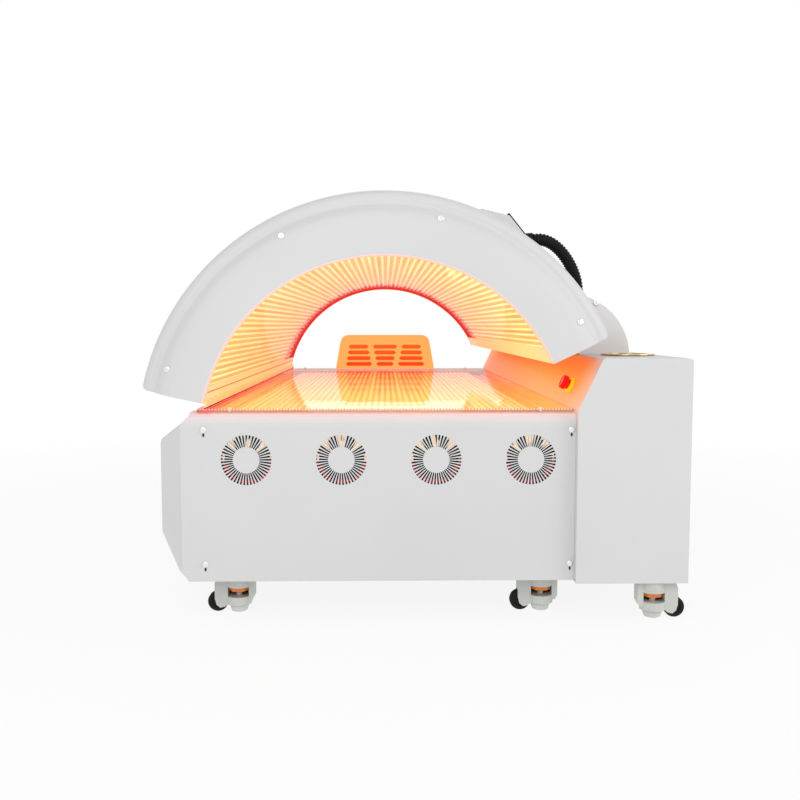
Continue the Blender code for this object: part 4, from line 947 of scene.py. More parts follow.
class Finishes:
    """Every finish of the bed, made once."""

    def __init__(self) -> None:
        """Make the materials."""
        self.white = PowderCoat().material()
        # Painted lamp light along the near panel's top edge, and painted shade behind the panel.
        self.near_panel = PowderCoat(
            "near panel coat", lit=Lit.TOP_EDGE, light=(1.0, 0.42, 0.36), level=0.30).material()
        # Painted pink lamp light on the near cap's inner lip.
        self.near_cap = PowderCoat(
            "near cap coat", lit=Lit.INNER_LIP, light=(1.0, 0.36, 0.28), level=0.42, painted_lamp_tint=0.3,
            painted_lamp_tint_to=(0.90, 0.45, 0.38)).material()
        # Painted lamp light on the rails.
        self.rail = PowderCoat(
            "rail coat", lit=Lit.RAIL, light=(1.0, 0.62, 0.34), level=0.46, painted_lamp_tint=0.9,
            painted_lamp_tint_to=(0.85, 0.58, 0.34), dark_line_z=0.5790).material()
        # Painted red lamp light on the far cap's inner lip and wall.
        self.far_cap = PowderCoat(
            "far cap coat", lit=Lit.INNER_LIP, light=(0.70, 0.004, 0.002), level=0.50, painted_lamp_tint=0.96,
            painted_lamp_tint_to=(0.42, 0.004, 0.003)).material()
        # Painted orange lamp light on the cabinet's slope.
        self.cabinet = PowderCoat(
            "cabinet coat", lit=Lit.SLOPE, light=(1.0, 0.30, 0.05), level=0.25).material()
        # The hinge housings get a lighter copy of the white coat: painted light where the canopy shades them.
        self.housing = PowderCoat("housing coat", (0.80, 0.80, 0.805), (0.77, 0.77, 0.78)).material()
        self.steel = SheetSteel().material()
        # The orange of the sheets and clips is painted lamp light.
        self.sheet = BedSheet("clear bed sheet").material()
        self.liner = ClearSheet("clear canopy sheet", cover=0.04, gloss=0.08).material()
        self.clip = ClearSheet("clear clip", near=(1.0, 0.95, 0.9), cover=0.55).material()
        self.tube = LampGlow(
            "lit lamp tube", (1.0, 0.72, 0.34), (1.0, 0.58, 0.22), (1.0, 0.38, 0.12), 0.86).material()
        self.canopy_tube = LampGlow(
            "lit canopy tube", (1.0, 0.68, 0.40), (1.0, 0.58, 0.30), (1.0, 0.42, 0.16), 0.78,
            sleeve_from=0.80).material()
        self.board = LampGlow(
            "lamp board", (0.98, 0.54, 0.17), (0.94, 0.42, 0.10), (0.72, 0.11, 0.02), 0.56).material()
        self.canopy_board = LampGlow(
            "canopy lamp board", (0.96, 0.46, 0.14), (0.92, 0.36, 0.08), (0.90, 0.34, 0.10), 0.46,
            back_from=0.4925).material()
        self.vent = LitVent().material()
        self.fan_light = FanLight().material()
        self.polished = Polished().material()
        self.rim = Polished("gold rim", (0.80, 0.66, 0.42), (0.62, 0.50, 0.30)).material()
        self.bowl = Polished("bronzed steel", (0.46, 0.35, 0.20), (0.30, 0.22, 0.12)).material()
        # The stop's red head and yellow collar glow with painted light.
        self.red = Moulding(
            "red button", (0.80, 0.004, 0.004), (0.72, 0.003, 0.003), 0.30, glow=0.22, shine=0.3).material()
        self.yellow = Moulding(
            "yellow collar", (0.95, 0.72, 0.01), (0.92, 0.68, 0.01), 0.34, glow=0.30, shine=0.3).material()
        self.black = Moulding(
            "black plastic", (0.004, 0.004, 0.004), (0.008, 0.008, 0.008), 0.50, shine=0.14).material()
        # The rail's lip is painted orange with lamp light and glows with it.
        self.lip = Moulding(
            "lamp lit lip", (0.88, 0.60, 0.30), (0.84, 0.54, 0.26), 0.45, glow=0.34, shine=0.2).material()
        self.rubber = Moulding(
            "dark seal", (0.16, 0.045, 0.040), (0.11, 0.032, 0.030), 0.55, 500.0, shine=0.2).material()
        # Painted shade for the panel's keyholes.
        self.keyhole_shade = Moulding("dark red slot", (0.05, 0.004, 0.004), (0.09, 0.006, 0.005), 0.5).material()
        self.caster = Moulding("pale grey nylon", (0.62, 0.64, 0.60), (0.55, 0.57, 0.53), 0.42).material()
        self.orange = Moulding("orange nut", (0.80, 0.24, 0.03), (0.70, 0.19, 0.02), 0.40).material()
        self.tyre = Moulding(
            "black tyre", (0.006, 0.006, 0.006), (0.012, 0.012, 0.011), 0.55, 600.0, shine=0.2).material()

    def by_node(self, name: str) -> bpy.types.Material:
        """The finish of a CAD node.

        Args:
            name: The node's name.

        Returns:
            Its material.
        """
        special = {
            "bed_acrylic": self.sheet, "canopy_acrylic": self.liner, "bed_lamp_tray": self.board,
            "canopy_lamp_tray": self.canopy_board, "head_vent": self.vent, "holder_cup": self.bowl,
            "estop_button": self.red, "estop_collar": self.yellow, "hose_plate": self.black,
            "cable_hose": self.black, "power_inlet": self.black, "near_end_panel": self.near_panel,
            "canopy_cap_near": self.near_cap, "canopy_cap_far": self.far_cap, "cabinet_shell": self.cabinet,
            "canopy_rail_left": self.rail, "canopy_rail_right": self.rail}
        if name in special:
            return special[name]
        if name.startswith("caster"):
            kinds = {"wheel": self.tyre, "thumbwheel": self.orange}
            return kinds.get(name.split("_")[-1], self.caster)
        if name.startswith("fan_rotor"):
            return self.black
        if name.startswith("hinge_housing"):
            return self.housing
        steel = ("chassis", "bed_spine", "fan_carrier", "hinge_arm_near", "hinge_arm_far", "power_supply")
        return self.steel if name in steel else self.white


@dataclass
class Screws:
    """Cross-head screws in the caps, panels and hinge housings."""

    radius: float = 0.0080
    height: float = 0.0044
    slot_width: float = 0.0018
    slot_length: float = 0.0080
    cap_radius: float = 0.575
    cap_setback: float = 0.0062
    cap_tilt: float = 13.0
    cap_angles: tuple[float, ...] = (161.3, 116.5, 76.0, 31.7)
    panel_places: tuple[Span, ...] = ((-0.456, 0.487), (-0.456, 0.144), (0.471, 0.487), (0.471, 0.144))
    housing_place: tuple[float, float, float] = (0.593, 0.815, 0.811)
    sink: float = 0.0006
    keyhole_radius: float = 0.0034
    keyhole_depth: float = 0.0008
    keyhole_rim: Span = (0.0008, -0.0005)
    keyhole_drop: float = 0.0125
    keyhole_stand: float = 0.0002

    def head(self) -> bpy.types.Object:
        """Model one screw head, standing on the origin.

        Returns:
            The pattern.
        """
        head = cylinder(self.radius, self.height, 20, (0, 0, self.height / 2 - self.sink))
        ease(head, self.height * 0.45, 3)
        for turn in (0.0, math.pi / 2):
            carve(head, block((self.slot_length, self.slot_width, self.height), (0, 0, self.height), turn))
        return head

    def places(self) -> dict[str, list[Matrix]]:
        """Where the screws stand, by the body that carries them.

        Returns:
            The places of each body.
        """
        canopy = []
        base = []
        for end in End:
            y = end.value * (HALF_LENGTH - self.cap_setback)
            for degrees in self.cap_angles:
                out = arc_point(1.0, degrees, 0.0) - arc_point(0.0, degrees, 0.0)
                tilt = math.radians(self.cap_tilt)
                normal = Vector((0, end.value * math.cos(tilt), 0)) + out * math.sin(tilt)
                canopy.append(facing(arc_point(self.cap_radius, degrees, y), normal))
            for x, z in self.panel_places:
                base.append(facing(bed_point(x, end.value * HALF_LENGTH, z), Vector((0, end.value, 0))))
            x, y, z = self.housing_place
            base.append(facing(bed_point(x, end.value * y, z), Vector((0, end.value, 0))))
        base += [facing(spot, Vector((1, 0, 0))) for spot in CabinetDoor().screw_spots()]
        return {Body.CANOPY.value: canopy, Body.BASE.value: base}

    def build(self, looks: Finishes) -> None:
        """Copy the screw to every place.

        Args:
            looks: The bed's finishes.
        """
        head = self.head()
        for body, spots in self.places().items():
            copies = [copy_to(head, "screw", spot) for spot in spots]
            dress(merge(copies, f"screws_{body}"), looks.polished, body)
        discard(head)
        self.keyhole_shades(looks)

    def keyhole_shades(self, looks: Finishes) -> None:
        """Dark slots of painted shade under the panel screws, where the panel hooks on.

        Args:
            looks: The bed's finishes.
        """
        # Each keyhole is a raised dark patch that stands for the shade inside a hole.
        hole = cylinder(self.keyhole_radius, self.keyhole_depth, 16)
        work_faces(hole, lambda centre, normal: normal.z > 0.9, [self.keyhole_rim])
        hole.data.transform(Matrix.Diagonal((0.8, 1.5, 1.0, 1.0)))
        copies = []
        for end in End:
            for x, z in self.panel_places:
                spot = bed_point(x, end.value * (HALF_LENGTH + self.keyhole_stand), z - self.keyhole_drop)
                copies.append(copy_to(hole, "keyhole_shade", facing(spot, Vector((0, end.value, 0)))))
        dress(merge(copies, "panel_keyholes"), looks.keyhole_shade, Body.BASE.value)
        discard(hole)


@dataclass
class LampTubes:
    """Rows of lit flat tubes under the bed sheet and behind the canopy's clear sheet."""

    bed_count: int = 42
    bed_half_width: float = 0.390
    bed_breadth: float = 0.0056
    bed_z: float = 0.5195
    canopy_count: int = 64
    canopy_radius: float = 0.4800
    canopy_from: float = 27.3
    canopy_to: float = 165.5
    canopy_breadth: float = 0.0036
    half_thickness: float = 0.0027
    half_length: float = 1.022
    cap_length: float = 0.010

    def tube(self, half_breadth: float) -> bpy.types.Object:
        """Model one flattened tube along Y, with drawn-in ends.

        Args:
            half_breadth: Half its width across the flat.

        Returns:
            The pattern.
        """
        tube = cylinder(self.half_thickness, 2 * self.half_length, 12, level=True)
        for end in End:
            work_faces(
                tube, lambda centre, normal: normal.y * end.value > 0.9, [(self.half_thickness * 0.3, 0.0)],
                (0, end.value * self.cap_length * 0.5, 0))
        tube.scale = (half_breadth / self.half_thickness, 1.0, 1.0)
        return settle(tube)

    def build(self, looks: Finishes) -> None:
        """Lay the tubes side by side, flat to the sheets that cover them.

        Args:
            looks: The bed's finishes.
        """
        pattern = self.tube(self.bed_breadth)
        row = []
        for i in range(self.bed_count):
            x = self.bed_half_width * (2 * i / (self.bed_count - 1) - 1)
            row.append(copy_to(pattern, "tube", Matrix.Translation(bed_point(x, 0.0, self.bed_z))))
        dress(merge(row, "bed_lamp_tubes"), looks.tube, Body.BASE.value)
        discard(pattern)
        pattern = self.tube(self.canopy_breadth)
        row = []
        for i in range(self.canopy_count):
            degrees = self.canopy_from + (self.canopy_to - self.canopy_from) * i / (self.canopy_count - 1)
            turn = Matrix.Rotation(math.radians(90.0 - degrees), 4, "Y")
            spot = Matrix.Translation(arc_point(self.canopy_radius, degrees, 0.0))
            row.append(copy_to(pattern, "tube", spot @ turn))
        dress(merge(row, "canopy_lamp_tubes"), looks.canopy_tube, Body.CANOPY.value)
        discard(pattern)


@dataclass
class RibbedHose:
    """The corrugated black hose from the canopy's entry box to the hinge housing."""

    plane_y: float = -0.77
    start: tuple[float, float] = (0.4193, 0.9899)
    rise: float = 5.0
    end: tuple[float, float] = (0.5470, 0.8363)
    straight: float = 0.012
    lean_out: float = 0.062
    lean_down: float = 0.056
    crest: float = 0.0180
    root: float = 0.0158
    pitch: float = 0.0088
    bend_slant: float = 65.0
    steps: int = 60
    smooth: float = 60.0

    def line(self) -> list[Vector]:
        """The centre line, finely stepped.

        Returns:
            Its points, from the plate to the housing.
        """
        aim = Vector((math.cos(math.radians(self.rise)), 0, math.sin(math.radians(self.rise))))
        first = bed_point(self.start[0], self.plane_y, self.start[1])
        last = bed_point(self.end[0], self.plane_y, self.end[1])
        up = Vector((0, 0, 1))
        second = first + aim * self.straight
        third = last + up * self.straight
        lead = second + aim * self.lean_out
        trail = third + up * self.lean_down
        points = [first]
        for i in range(self.steps + 1):
            t = i / self.steps
            early = second * (1 - t) ** 3 + lead * 3 * t * (1 - t) ** 2
            points.append(early + trail * 3 * t ** 2 * (1 - t) + third * t ** 3)
        return points + [last]

    def spaced(self, steps_per_rib: int) -> list[Vector]:
        """The centre line at even steps along its length.

        Args:
            steps_per_rib: Points to a rib.

        Returns:
            The points.
        """
        points = self.line()
        lengths = [0.0]
        for before, here in zip(points, points[1:]):
            lengths.append(lengths[-1] + (here - before).length)
        count = round(lengths[-1] / self.pitch) * steps_per_rib
        even = []
        at = 0
        for i in range(count + 1):
            want = lengths[-1] * i / count
            while at < len(lengths) - 2 and lengths[at + 1] < want:
                at += 1
            share = (want - lengths[at]) / max(lengths[at + 1] - lengths[at], 1e-9)
            even.append(points[at].lerp(points[at + 1], share))
        return even

    def build(self, looks: Finishes) -> None:
        """Sweep the ribs along the line, in place of the hose's solid, which is hidden.

        Args:
            looks: The bed's finishes.
        """
        flank = (self.root + self.crest) / 2
        profile = (self.root, flank, self.crest, self.crest, flank, self.root)
        points = self.spaced(len(profile))
        curve = bpy.data.curves.new("hose line", "CURVE")
        curve.dimensions = "3D"
        curve.bevel_depth = 1.0
        curve.bevel_resolution = 6
        curve.use_fill_caps = True
        spline = curve.splines.new("POLY")
        spline.points.add(len(points) - 1)
        for i, (knot, point) in enumerate(zip(spline.points, points)):
            knot.co = (*point, 1.0)
            knot.radius = profile[i % len(profile)]
        hose = bpy.data.objects.new("ribbed_hose", curve)
        bpy.context.scene.collection.objects.link(hose)
        pick(hose)
        bpy.ops.object.convert(target="MESH")
        hose = bpy.context.object
        hose.name = "ribbed_hose"
        pick(hose)
        bpy.ops.object.shade_smooth_by_angle(angle=math.radians(self.smooth))
        hose.data.materials.clear()
        hose.data.materials.append(looks.black)
        slant = math.radians(self.bend_slant)
        way = Vector((math.cos(slant), 0.0, math.sin(slant)))
        past = points[-1] + way * (points[0] - points[-1]).dot(way)
        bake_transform(hose)
        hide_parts("cable_hose")
        LOG.info("ribbed_hose: %d faces", len(hose.data.polygons))


@dataclass
class FanRings:
    """Rings on the fan carrier that show the lamp light between the blades."""

    inner: float = 0.024
    outer: float = 0.0635
    y: float = -1.0718
    thickness: float = 0.0006
    count: int = 4
    first_x: float = -0.34975
    pitch: float = 0.2395
    z: float = 0.411

    def build(self, looks: Finishes) -> None:
        """Model one ring and copy it behind each grille.

        Args:
            looks: The bed's finishes.
        """
        ring = flat_ring(self.outer, self.inner, 40)
        modify(ring, "SOLIDIFY", thickness=self.thickness, offset=0.0)
        copies = []
        for i in range(self.count):
            spot = bed_point(self.first_x + self.pitch * i, self.y, self.z)
            copies.append(copy_to(ring, "ring", facing(spot, Vector((0, -1, 0)))))
        dress(merge(copies, "fan_light_rings"), looks.fan_light, Body.BASE.value)
        discard(ring)


@dataclass
class SheetClips:
    """Small clear clips that hold the bed sheet down at its ends."""

    xs: tuple[float, ...] = (-0.390, 0.392)
    y: float = 1.0885
    size: tuple[float, float, float] = (0.006, 0.014, 0.008)
    top: float = 0.5398
    hook: float = 0.004
    edge: float = 0.0012

    def build(self, looks: Finishes) -> None:
        """Model one hooked clip and copy it to each place.

        Args:
            looks: The bed's finishes.
        """
        clip = block(self.size)
        work_faces(clip, lambda centre, normal: normal.y < -0.9, shift=(0, 0, -self.hook))
        ease(clip, self.edge)
        copies = []
        for end in End:
            turn = Matrix.Rotation(0.0 if end is End.NEAR else math.pi, 4, "Z")
            for x in self.xs:
                spot = bed_point(x, end.value * self.y, self.top + self.size[2] / 2 - self.hook)
                copies.append(copy_to(clip, "clip", Matrix.Translation(spot) @ turn))
        dress(merge(copies, "sheet_clips"), looks.clip, Body.BASE.value)
        discard(clip)


@dataclass
class CasterWheels:
    """Round rubber wheels with recessed hubs, in place of the faceted solids."""

    places: tuple[tuple[float, float, int], ...] = (
        (-0.3847, -1.0175, -1), (0.4104, -1.0175, -1), (0.6888, -1.0850, 1),
        (-0.3847, 1.0175, -1), (0.4104, 1.0175, -1), (0.6888, 1.0850, 1))
    trail: float = 0.055
    radius: float = 0.0265
    width: float = 0.022
    hub: float = 0.0165
    painted_shade_radius: float = 0.0316
    window: Span = (0.0423, 0.0662)
    tread: float = 0.0045
    hub_steps: tuple[Span, ...] = ((0.0012, -0.0018), (0.0085, 0.0), (0.0010, 0.0016))
    painted_shade_wall: float = 0.0016
    painted_shade_from: float = 0.46

    def wheel(self) -> bpy.types.Object:
        """Model one wheel about the origin, its axle along Y.

        Returns:
            The pattern.
        """
        wheel = cylinder(self.radius, self.width, 48, level=True)
        ease(wheel, self.tread, 4)
        steps = ((self.radius - self.tread - self.hub, 0.0), *self.hub_steps)
        for end in End:
            work_faces(wheel, lambda centre, normal: normal.y * end.value > 0.999, steps)
        return wheel

    def build(self, looks: Finishes) -> None:
        """Put a wheel on every caster.

        Args:
            looks: The bed's finishes.
        """
        pattern = self.wheel()
        for number, (x, y, side) in enumerate(self.places, 1):
            spot = Matrix.Translation(bed_point(x + side * self.trail, y, self.radius))
            wheel = copy_to(pattern, f"caster_tyre_{number}", spot)
            node = f"caster_{number}_wheel"
            dress(wheel, looks.tyre, node)
            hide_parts(node)
        discard(pattern)
        self.painted_shades(looks)

    def painted_shades(self, looks: Finishes) -> None:
        """Close the inward side of each caster's window with a dark curved piece of painted shade.

        Args:
            looks: The bed's finishes.
        """
        low, high = self.window
        painted_shade = cylinder(self.painted_shade_radius, high - low, 40, (0, 0, sum(self.window) / 2), ends="NOTHING")
        work_faces(
            painted_shade, lambda centre, normal: centre.y < self.painted_shade_radius * self.painted_shade_from, drop=True)
        modify(painted_shade, "SOLIDIFY", thickness=self.painted_shade_wall, offset=-1.0)
        # Each piece rides the swivel and stands for the shade inside the caster's window.
        for number, (x, y, _) in enumerate(self.places, 1):
            turn = Matrix.Rotation(0.0 if y < 0 else math.pi, 4, "Z")
            spot = Matrix.Translation(bed_point(x, y, 0.0))
            piece = copy_to(painted_shade, f"caster_shield_{number}", spot @ turn)
            dress(piece, looks.black, f"caster_{number}_swivel")
        discard(painted_shade)


@dataclass
class ArchSkin:
    """The canopy's outer skin and moulded end caps, finer than the faceted solids."""

    right: float = 25.0
    left: float = 167.8
    steps: int = 84
    skin: Span = (0.608, 0.612)
    skin_reach: float = 1.05
    lip: float = 0.467
    lip_depth: float = 0.032
    lip_round: float = 0.006
    flat: float = 0.548
    lead_in: float = 0.02
    shoulder: tuple[Span, ...] = (
        (0.5732, 0.0054), (0.5875, 0.0153), (0.5950, 0.0222), (0.6030, 0.0236), (0.6118, 0.0229),
        (0.6244, 0.0296))
    rim: float = 0.632
    set_back: float = 0.045
    depth: float = 0.070
    corner: float = 0.018
    clear: float = 0.0003
    cut_over: float = 0.005
    hinge: Span = (0.51652, 0.72964)
    notch: float = 0.120
    notch_y: Span = (0.7205, 0.8195)

    def face_line(self) -> list[Span]:
        """The cap's outer line as radius and depth, from its inner lip to the rim.

        Returns:
            The points, with the shoulder's bends eased.
        """
        line = [(self.lip, self.lip_depth)]
        for i in range(5):
            turn = math.pi / 2 * i / 4
            out, deep = 1 - math.cos(turn), 1 - math.sin(turn)
            line.append((self.lip + self.lip_round * out, self.lip_round * deep))
        bends = [
            (self.flat - self.lead_in, 0.0), (self.flat, 0.0), *self.shoulder, (self.rim, self.set_back),
            (self.rim, self.depth)]
        knots = [Vector(bend) for bend in bends]
        for before, here, after, next_one in zip(knots, knots[1:], knots[2:], knots[3:]):
            for i in range(4):
                t = i / 4
                square = (2 * before - 5 * here + 4 * after - next_one) * t ** 2
                cube = (3 * here - before - 3 * after + next_one) * t ** 3
                eased = 0.5 * (2 * here + (after - before) * t + square + cube)
                line.append((eased.x, eased.y))
        foot = (self.skin[1] + self.clear, self.depth)
        return line + [(self.rim, self.set_back), (self.rim, self.depth), foot]

    def round_corner(self, cap: bpy.types.Object, first: float, step: int, end: End) -> None:
        """Round the outer corner at one foot of a cap.

        Args:
            cap: The cap.
            first: The foot's angle.
            step: The way that the arch goes on from there.
            end: The end of the bed.
        """
        turn = step * math.degrees(math.asin(self.corner / (self.rim - self.corner)))
        y = end.value * (HALF_LENGTH + self.cut_over)
        centre = arc_point(self.rim - self.corner, first + turn, y)
        points = []
        for i in range(13):
            angle = math.radians(first + turn - (step * 90 + turn) * i / 12)
            points.append(centre + Vector((math.cos(angle), 0.0, math.sin(angle))) * self.corner)
        away = first - 3 * step
        points.append(arc_point(self.rim * 0.97, away, y))
        points.append(arc_point(self.rim * 1.04, away, y))
        points.append(arc_point(self.rim * 1.04, first + turn, y))
        cutter = outline(points, "corner")
        extrude(cutter, (0.0, -end.value * (self.depth + 2 * self.cut_over), 0.0))
        carve(cap, cutter)

    def cap(self, end: End, name: str) -> bpy.types.Object:
        """Spin one end cap and round its feet.

        Args:
            end: The end of the bed.
            name: The piece's name.

        Returns:
            The cap.
        """
        points = [arc_point(r, self.right, end.value * (HALF_LENGTH - d)) for r, d in self.face_line()]
        cap = outline(points, name)
        sweep_arch(cap, self.left - self.right, self.steps)
        self.round_corner(cap, self.right, 1, end)
        self.round_corner(cap, self.left, -1, end)
        return cap

    def outer(self) -> bpy.types.Object:
        """Spin the outer skin and clear it round both hinge housings.

        Returns:
            The skin.
        """
        low, high = self.skin
        corners = ((low, -1), (high, -1), (high, 1), (low, 1))
        skin = outline([arc_point(r, self.right, s * self.skin_reach) for r, s in corners], "arched_skin")
        sweep_arch(skin, self.left - self.right, self.steps)
        near, far = self.notch_y
        for end in End:
            at = bed_point(self.hinge[0], end.value * (near + far) / 2, self.hinge[1])
            carve(skin, cylinder(self.notch, far - near, 64, at, level=True))
        return skin

    def build(self, looks: Finishes) -> None:
        """Put the skin and both caps in place of their solids.

        Args:
            looks: The bed's finishes.
        """
        finishes = {End.NEAR: looks.near_cap, End.FAR: looks.far_cap}
        for end, finish in finishes.items():
            side = end.name.lower()
            cap = dress(self.cap(end, f"end_cap_{side}"), finish, Body.CANOPY.value)
            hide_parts(f"canopy_cap_{side}")
        skin = dress(self.outer(), looks.white, Body.CANOPY.value)
        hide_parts("canopy_shell")


@dataclass
class RailSeal:
    """The lip and soft seal under the canopy's left rail, just clear of the bed sheet."""

    x: float = -0.4492
    half_length: float = 1.1100
    lip: Span = (0.5440, 0.5600)
    seal: Span = (0.5408, 0.5448)
    lip_width: float = 0.0030
    seal_width: float = 0.0036

    def strip(self, name: str, width: float, low: float, high: float) -> bpy.types.Object:
        """Model a strip with rounded edges along the rail.

        Args:
            name: The piece's name.
            width: Its width.
            low: Its lower edge.
            high: Its upper edge.

        Returns:
            The strip.
        """
        at = bed_point(self.x, 0.0, (low + high) / 2)
        strip = block((width, 2 * self.half_length, high - low), at)
        strip.name = name
        ease(strip, width * 0.35, 3)
        return strip

    def build(self, looks: Finishes) -> None:
        """Hang the lip and the seal on the rail.

        Args:
            looks: The bed's finishes.
        """
        lip = self.strip("rail_lip", self.lip_width, *self.lip)
        dress(lip, looks.lip, Body.CANOPY.value)
        seal = self.strip("rail_seal", self.seal_width, *self.seal)
        dress(seal, looks.rubber, Body.CANOPY.value)


@dataclass
class StopHead:
    """The emergency stop: a dished head with finger grips, whose neck slides in a recessed collar."""

    at: tuple[float, float, float] = (0.5057, -0.92, 0.5865)
    normal: tuple[float, float, float] = (-0.9052, 0.0, 0.4250)
    radius: float = 0.0190
    low: float = 0.0149
    height: float = 0.0160
    grips: int = 6
    grip_radius: float = 0.0062
    grip_reach: float = 0.0226
    stem: float = 0.0060
    stem_foot: float = -0.0250
    neck: float = 0.0140
    neck_foot: float = 0.0085
    collar: float = 0.0210
    collar_height: float = 0.0078
    collar_lift: float = 0.0003
    collar_recess: float = 0.0057
    collar_wall: float = 0.0040
    barrel: float = 0.0110
    barrel_foot: float = -0.0300
    collar_bevel: Span = (0.0012, 0.0010)
    collar_draft: float = 0.0004
    stem_clear: float = 0.0004
    bore_length: float = 0.2
    overlap: float = 0.002
    post_edge: float = 0.0006
    head_edge: float = 0.0034
    dish: tuple[Span, ...] = ((0.0022, 0.0), (0.0016, -0.0014))

    def ring(self) -> bpy.types.Object:
        """Model the collar about the Z axis, with its recess, its barrel and the stem's bore.

        Returns:
            The collar.
        """
        at = (0, 0, self.collar_lift + self.collar_height / 2)
        ring = cylinder(self.collar, self.collar_height, 48, at)
        width, rise = self.collar_bevel
        wall = (self.collar_wall - width, 0.0)
        recess = (self.collar_draft, -self.collar_recess - rise)
        work_faces(ring, lambda centre, normal: normal.z > 0.99, [self.collar_bevel, wall, recess])
        work_faces(
            ring, lambda centre, normal: normal.z < -0.99, [(self.collar - self.barrel, 0.0)],
            (0, 0, self.barrel_foot))
        carve(ring, cylinder(self.stem + self.stem_clear, self.bore_length, 24))
        return ring

    def post(self, radius: float, foot: float) -> bpy.types.Object:
        """Model a round post with soft edges, from its foot up into the head.

        Args:
            radius: Its radius.
            foot: The height of its foot.

        Returns:
            The post.
        """
        length = self.low + self.overlap - foot
        post = cylinder(radius, length, 32, (0, 0, foot + length / 2))
        ease(post, self.post_edge)
        return post

    def head(self) -> bpy.types.Object:
        """Model the head about the Z axis.

        Returns:
            The head.
        """
        head = cylinder(self.radius, self.height, 48, (0, 0, self.low + self.height / 2))
        ease(head, self.head_edge, 4)
        work_faces(head, lambda centre, normal: normal.z > 0.99, self.dish)
        for i in range(self.grips):
            turn = 2 * math.pi * i / self.grips
            at = (self.grip_reach * math.cos(turn), self.grip_reach * math.sin(turn), self.low)
            carve(head, cylinder(self.grip_radius, self.height * 2, 24, at))
        return head

    def build(self, looks: Finishes) -> None:
        """Set the head, its neck and stem and the collar on the cabinet's slope.

        Args:
            looks: The bed's finishes.
        """
        place = facing(bed_point(*self.at), Vector(self.normal))
        posts = [self.post(self.neck, self.neck_foot), self.post(self.stem, self.stem_foot)]
        pattern = merge([self.head(), *posts], "stop pattern")
        head = copy_to(pattern, "stop_head", place)
        discard(pattern)
        dress(head, looks.red, Body.STOP.value)
        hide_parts("estop_button")
        pattern = self.ring()
        ring = copy_to(pattern, "stop_collar", place)
        discard(pattern)
        dress(ring, looks.yellow, Body.BASE.value)
        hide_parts("estop_collar")


@dataclass
class HolderRim:
    """The rolled rim of the round holder in the cabinet's top."""

    at: tuple[float, float, float] = (0.662, -0.8975, 0.6692)
    outer: float = 0.0722
    inner: float = 0.0588
    rise: float = 0.0036

    def build(self, looks: Finishes) -> None:
        """Raise a ring from a disc and roll its edges.

        Args:
            looks: The bed's finishes.
        """
        ring = flat_ring(self.outer, self.inner, 72)
        extrude(ring, (0.0, 0.0, self.rise))
        ease(ring, self.rise * 0.45, 4)
        rim = copy_to(ring, "holder_rim", Matrix.Translation(bed_point(*self.at)))
        discard(ring)
        dress(rim, looks.rim, Body.BASE.value)


@dataclass
class CabinetDoor:
    """The service plate on the cabinet's outer side, over the power supply's bay."""

    x: float = 0.768
    length: float = 1.50
    low: float = 0.190
    high: float = 0.590
    thickness: float = 0.0016
    corner: float = 0.022
    screw_inset: float = 0.028
    screws_along: int = 4
    sink: float = 0.0008
    edge: float = 0.0006

    def screw_spots(self) -> list[Vector]:
        """Where the plate's screws stand.

        Returns:
            The points on its face.
        """
        reach = self.length / 2 - self.screw_inset
        spots = []
        for i in range(self.screws_along):
            y = -reach + 2 * reach * i / (self.screws_along - 1)
            for z in (self.low + self.screw_inset, self.high - self.screw_inset):
                spots.append(bed_point(self.x + self.thickness, y, z))
        return spots

    def build(self, looks: Finishes) -> None:
        """Model the plate with round corners and eased edges.

        Args:
            looks: The bed's finishes.
        """
        half = self.length / 2 - self.corner
        points = []
        top, foot = self.high - self.corner, self.low + self.corner
        for y, z, first in ((half, top, 0), (-half, top, 90), (-half, foot, 180), (half, foot, 270)):
            for i in range(9):
                turn = math.radians(first + 90 * i / 8)
                across, up = self.corner * math.cos(turn), self.corner * math.sin(turn)
                points.append(bed_point(self.x - self.sink, y + across, z + up))
        door = outline(points, "service_plate")
        extrude(door, (self.thickness + self.sink, 0.0, 0.0))
        ease(door, self.edge)
        dress(door, looks.white, Body.BASE.value)


@dataclass(frozen=True)
class StudioLamp:
    """One soft lamp: where it hangs, what it points at, its size, power and colour."""

    place: tuple[float, float, float]
    aim: tuple[float, float, float]
    size: float
    power: float
    colour: Colour = WHITE


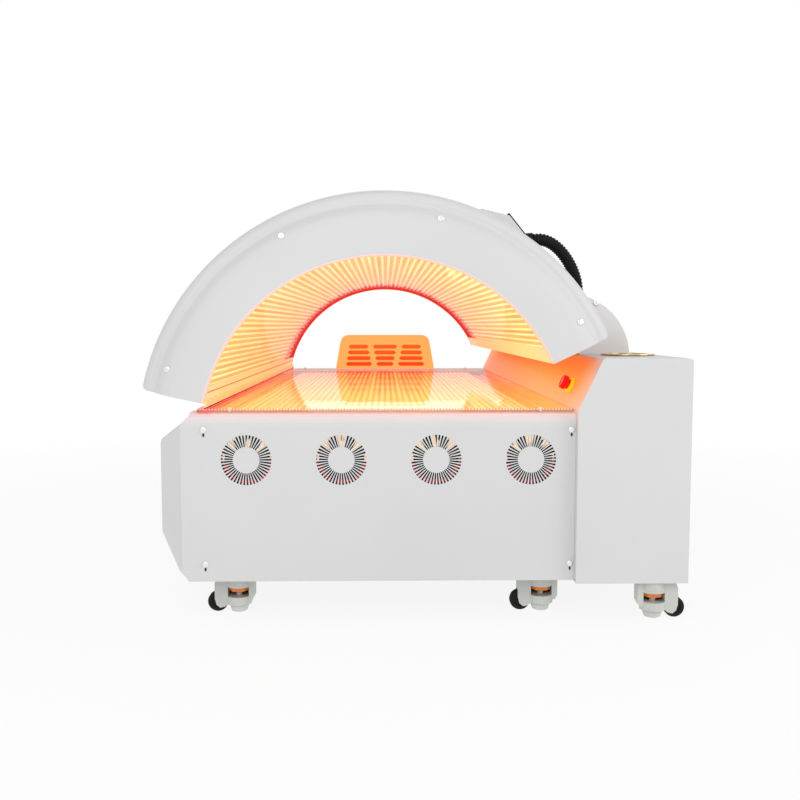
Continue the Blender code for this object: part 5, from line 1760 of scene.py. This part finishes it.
@dataclass
class Studio:
    """The plain white studio: floor, soft lamps, pale world and the camera."""

    camera_at: tuple[float, float, float] = (0.0, -3.3875, 0.75)
    pitch: float = 4.686
    yaw: float = 0.939
    lens: float = 41.175
    sensor: float = 36.0
    floor_size: float = 30.0
    floor_z: float = -0.0004
    floor_fade: Span = (1.2, 3.4)
    floor_colour: Colour = (0.86, 0.86, 0.86)
    soft_light: float = 0.56
    lamps: tuple[StudioLamp, ...] = (
        StudioLamp((-1.0, -3.8, 2.4), (0.0, -0.4, 0.5), 2.2, 32.0),
        StudioLamp((3.2, -2.4, 1.8), (0.2, -0.4, 0.5), 2.2, 34.0),
        StudioLamp((0.0, 3.0, 2.2), (0.0, 0.4, 0.6), 3.0, 26.0),
        StudioLamp((-0.10, -0.35, 0.88), (0.10, -0.35, 0.50), 0.5, 3.0, (1.0, 0.30, 0.10)),
        StudioLamp((0.05, -0.75, 0.80), (0.42, -0.80, 0.58), 0.25, 0.7, (1.0, 0.34, 0.14)))

    def camera(self) -> None:
        """Stand the camera before the near end, a little above the bed."""
        data = bpy.data.cameras.new("camera")
        data.lens = self.lens
        data.sensor_width = self.sensor
        data.sensor_fit = "HORIZONTAL"
        camera = bpy.data.objects.new("camera", data)
        bpy.context.scene.collection.objects.link(camera)
        camera.location = bed_point(*self.camera_at)
        camera.rotation_euler = (math.radians(90.0 - self.pitch), 0.0, math.radians(-self.yaw))
        bpy.context.scene.camera = camera

    def floor(self) -> None:
        """Lay the pale floor, which is near white to the camera and keeps the shadow."""
        deselect()
        bpy.ops.mesh.primitive_plane_add(size=self.floor_size, location=(0, 0, self.floor_z))
        floor = settle(bpy.context.object)
        floor.name = "studio_floor"
        shader = Shader("studio floor")
        matte = shader.node("ShaderNodeBsdfDiffuse", None, {"Color": self.floor_colour})
        white = shader.node("ShaderNodeEmission", None, {"Color": WHITE, "Strength": 1.0})
        across = shader.axis("X")
        along = shader.axis("Y")
        away = (across * across + along * along).root().ramp(*self.floor_fade)
        share = shader.node("ShaderNodeMixShader", None, {0: 0.88 + 0.12 * away, 1: matte, 2: white})
        floor.data.materials.append(shader.close(share))

    def world(self) -> None:
        """Fill the studio with soft light; what is seen directly or mirrored is white."""
        shader = Shader("studio", world=True)
        seen = shader.node("ShaderNodeLightPath", output="Is Camera Ray")
        for ray in ("Is Glossy Ray", "Is Transmission Ray"):
            seen = seen.most(shader.node("ShaderNodeLightPath", output=ray))
        soft = shader.node("ShaderNodeBackground", None, {"Color": WHITE, "Strength": self.soft_light})
        white = shader.node("ShaderNodeBackground", None, {"Color": WHITE, "Strength": 1.0})
        both = shader.node("ShaderNodeMixShader", None, {0: seen, 1: soft, 2: white})
        bpy.context.scene.world = shader.close(both)

    def light(self) -> None:
        """Hang the soft lamps."""
        for soft in self.lamps:
            data = bpy.data.lights.new("soft lamp", "AREA")
            data.energy = soft.power
            data.size = soft.size
            data.color = soft.colour
            lamp = bpy.data.objects.new("soft lamp", data)
            bpy.context.scene.collection.objects.link(lamp)
            lamp.location = soft.place
            way = Vector(soft.aim) - Vector(soft.place)
            lamp.rotation_euler = way.to_track_quat("-Z", "Y").to_euler()

    def build(self) -> None:
        """Set the whole studio."""
        bpy.context.scene.view_settings.view_transform = "Standard"
        self.camera()
        self.floor()
        self.world()
        self.light()


def dress_nodes(nodes: dict[str, bpy.types.Object], looks: Finishes) -> None:
    """Give every CAD node its finish.

    Args:
        nodes: The nodes by name.
        looks: The bed's finishes.
    """
    for name, node in nodes.items():
        node.data.materials.clear()
        node.data.materials.append(looks.by_node(name))


def main() -> None:
    """Build the studio, dress the nodes and add the pieces."""
    logging.basicConfig(level=logging.INFO, format="%(name)s %(message)s")
    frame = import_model()
    looks = Finishes()
    dress_nodes(frame["nodes"], looks)
    Studio().build()
    for piece in (
            ArchSkin(), RibbedHose(), Screws(), LampTubes(), FanRings(), SheetClips(), RailSeal(), StopHead(),
            HolderRim(), CabinetDoor(), CasterWheels()):
        piece.build(looks)


if __name__ == "__main__":
    main()
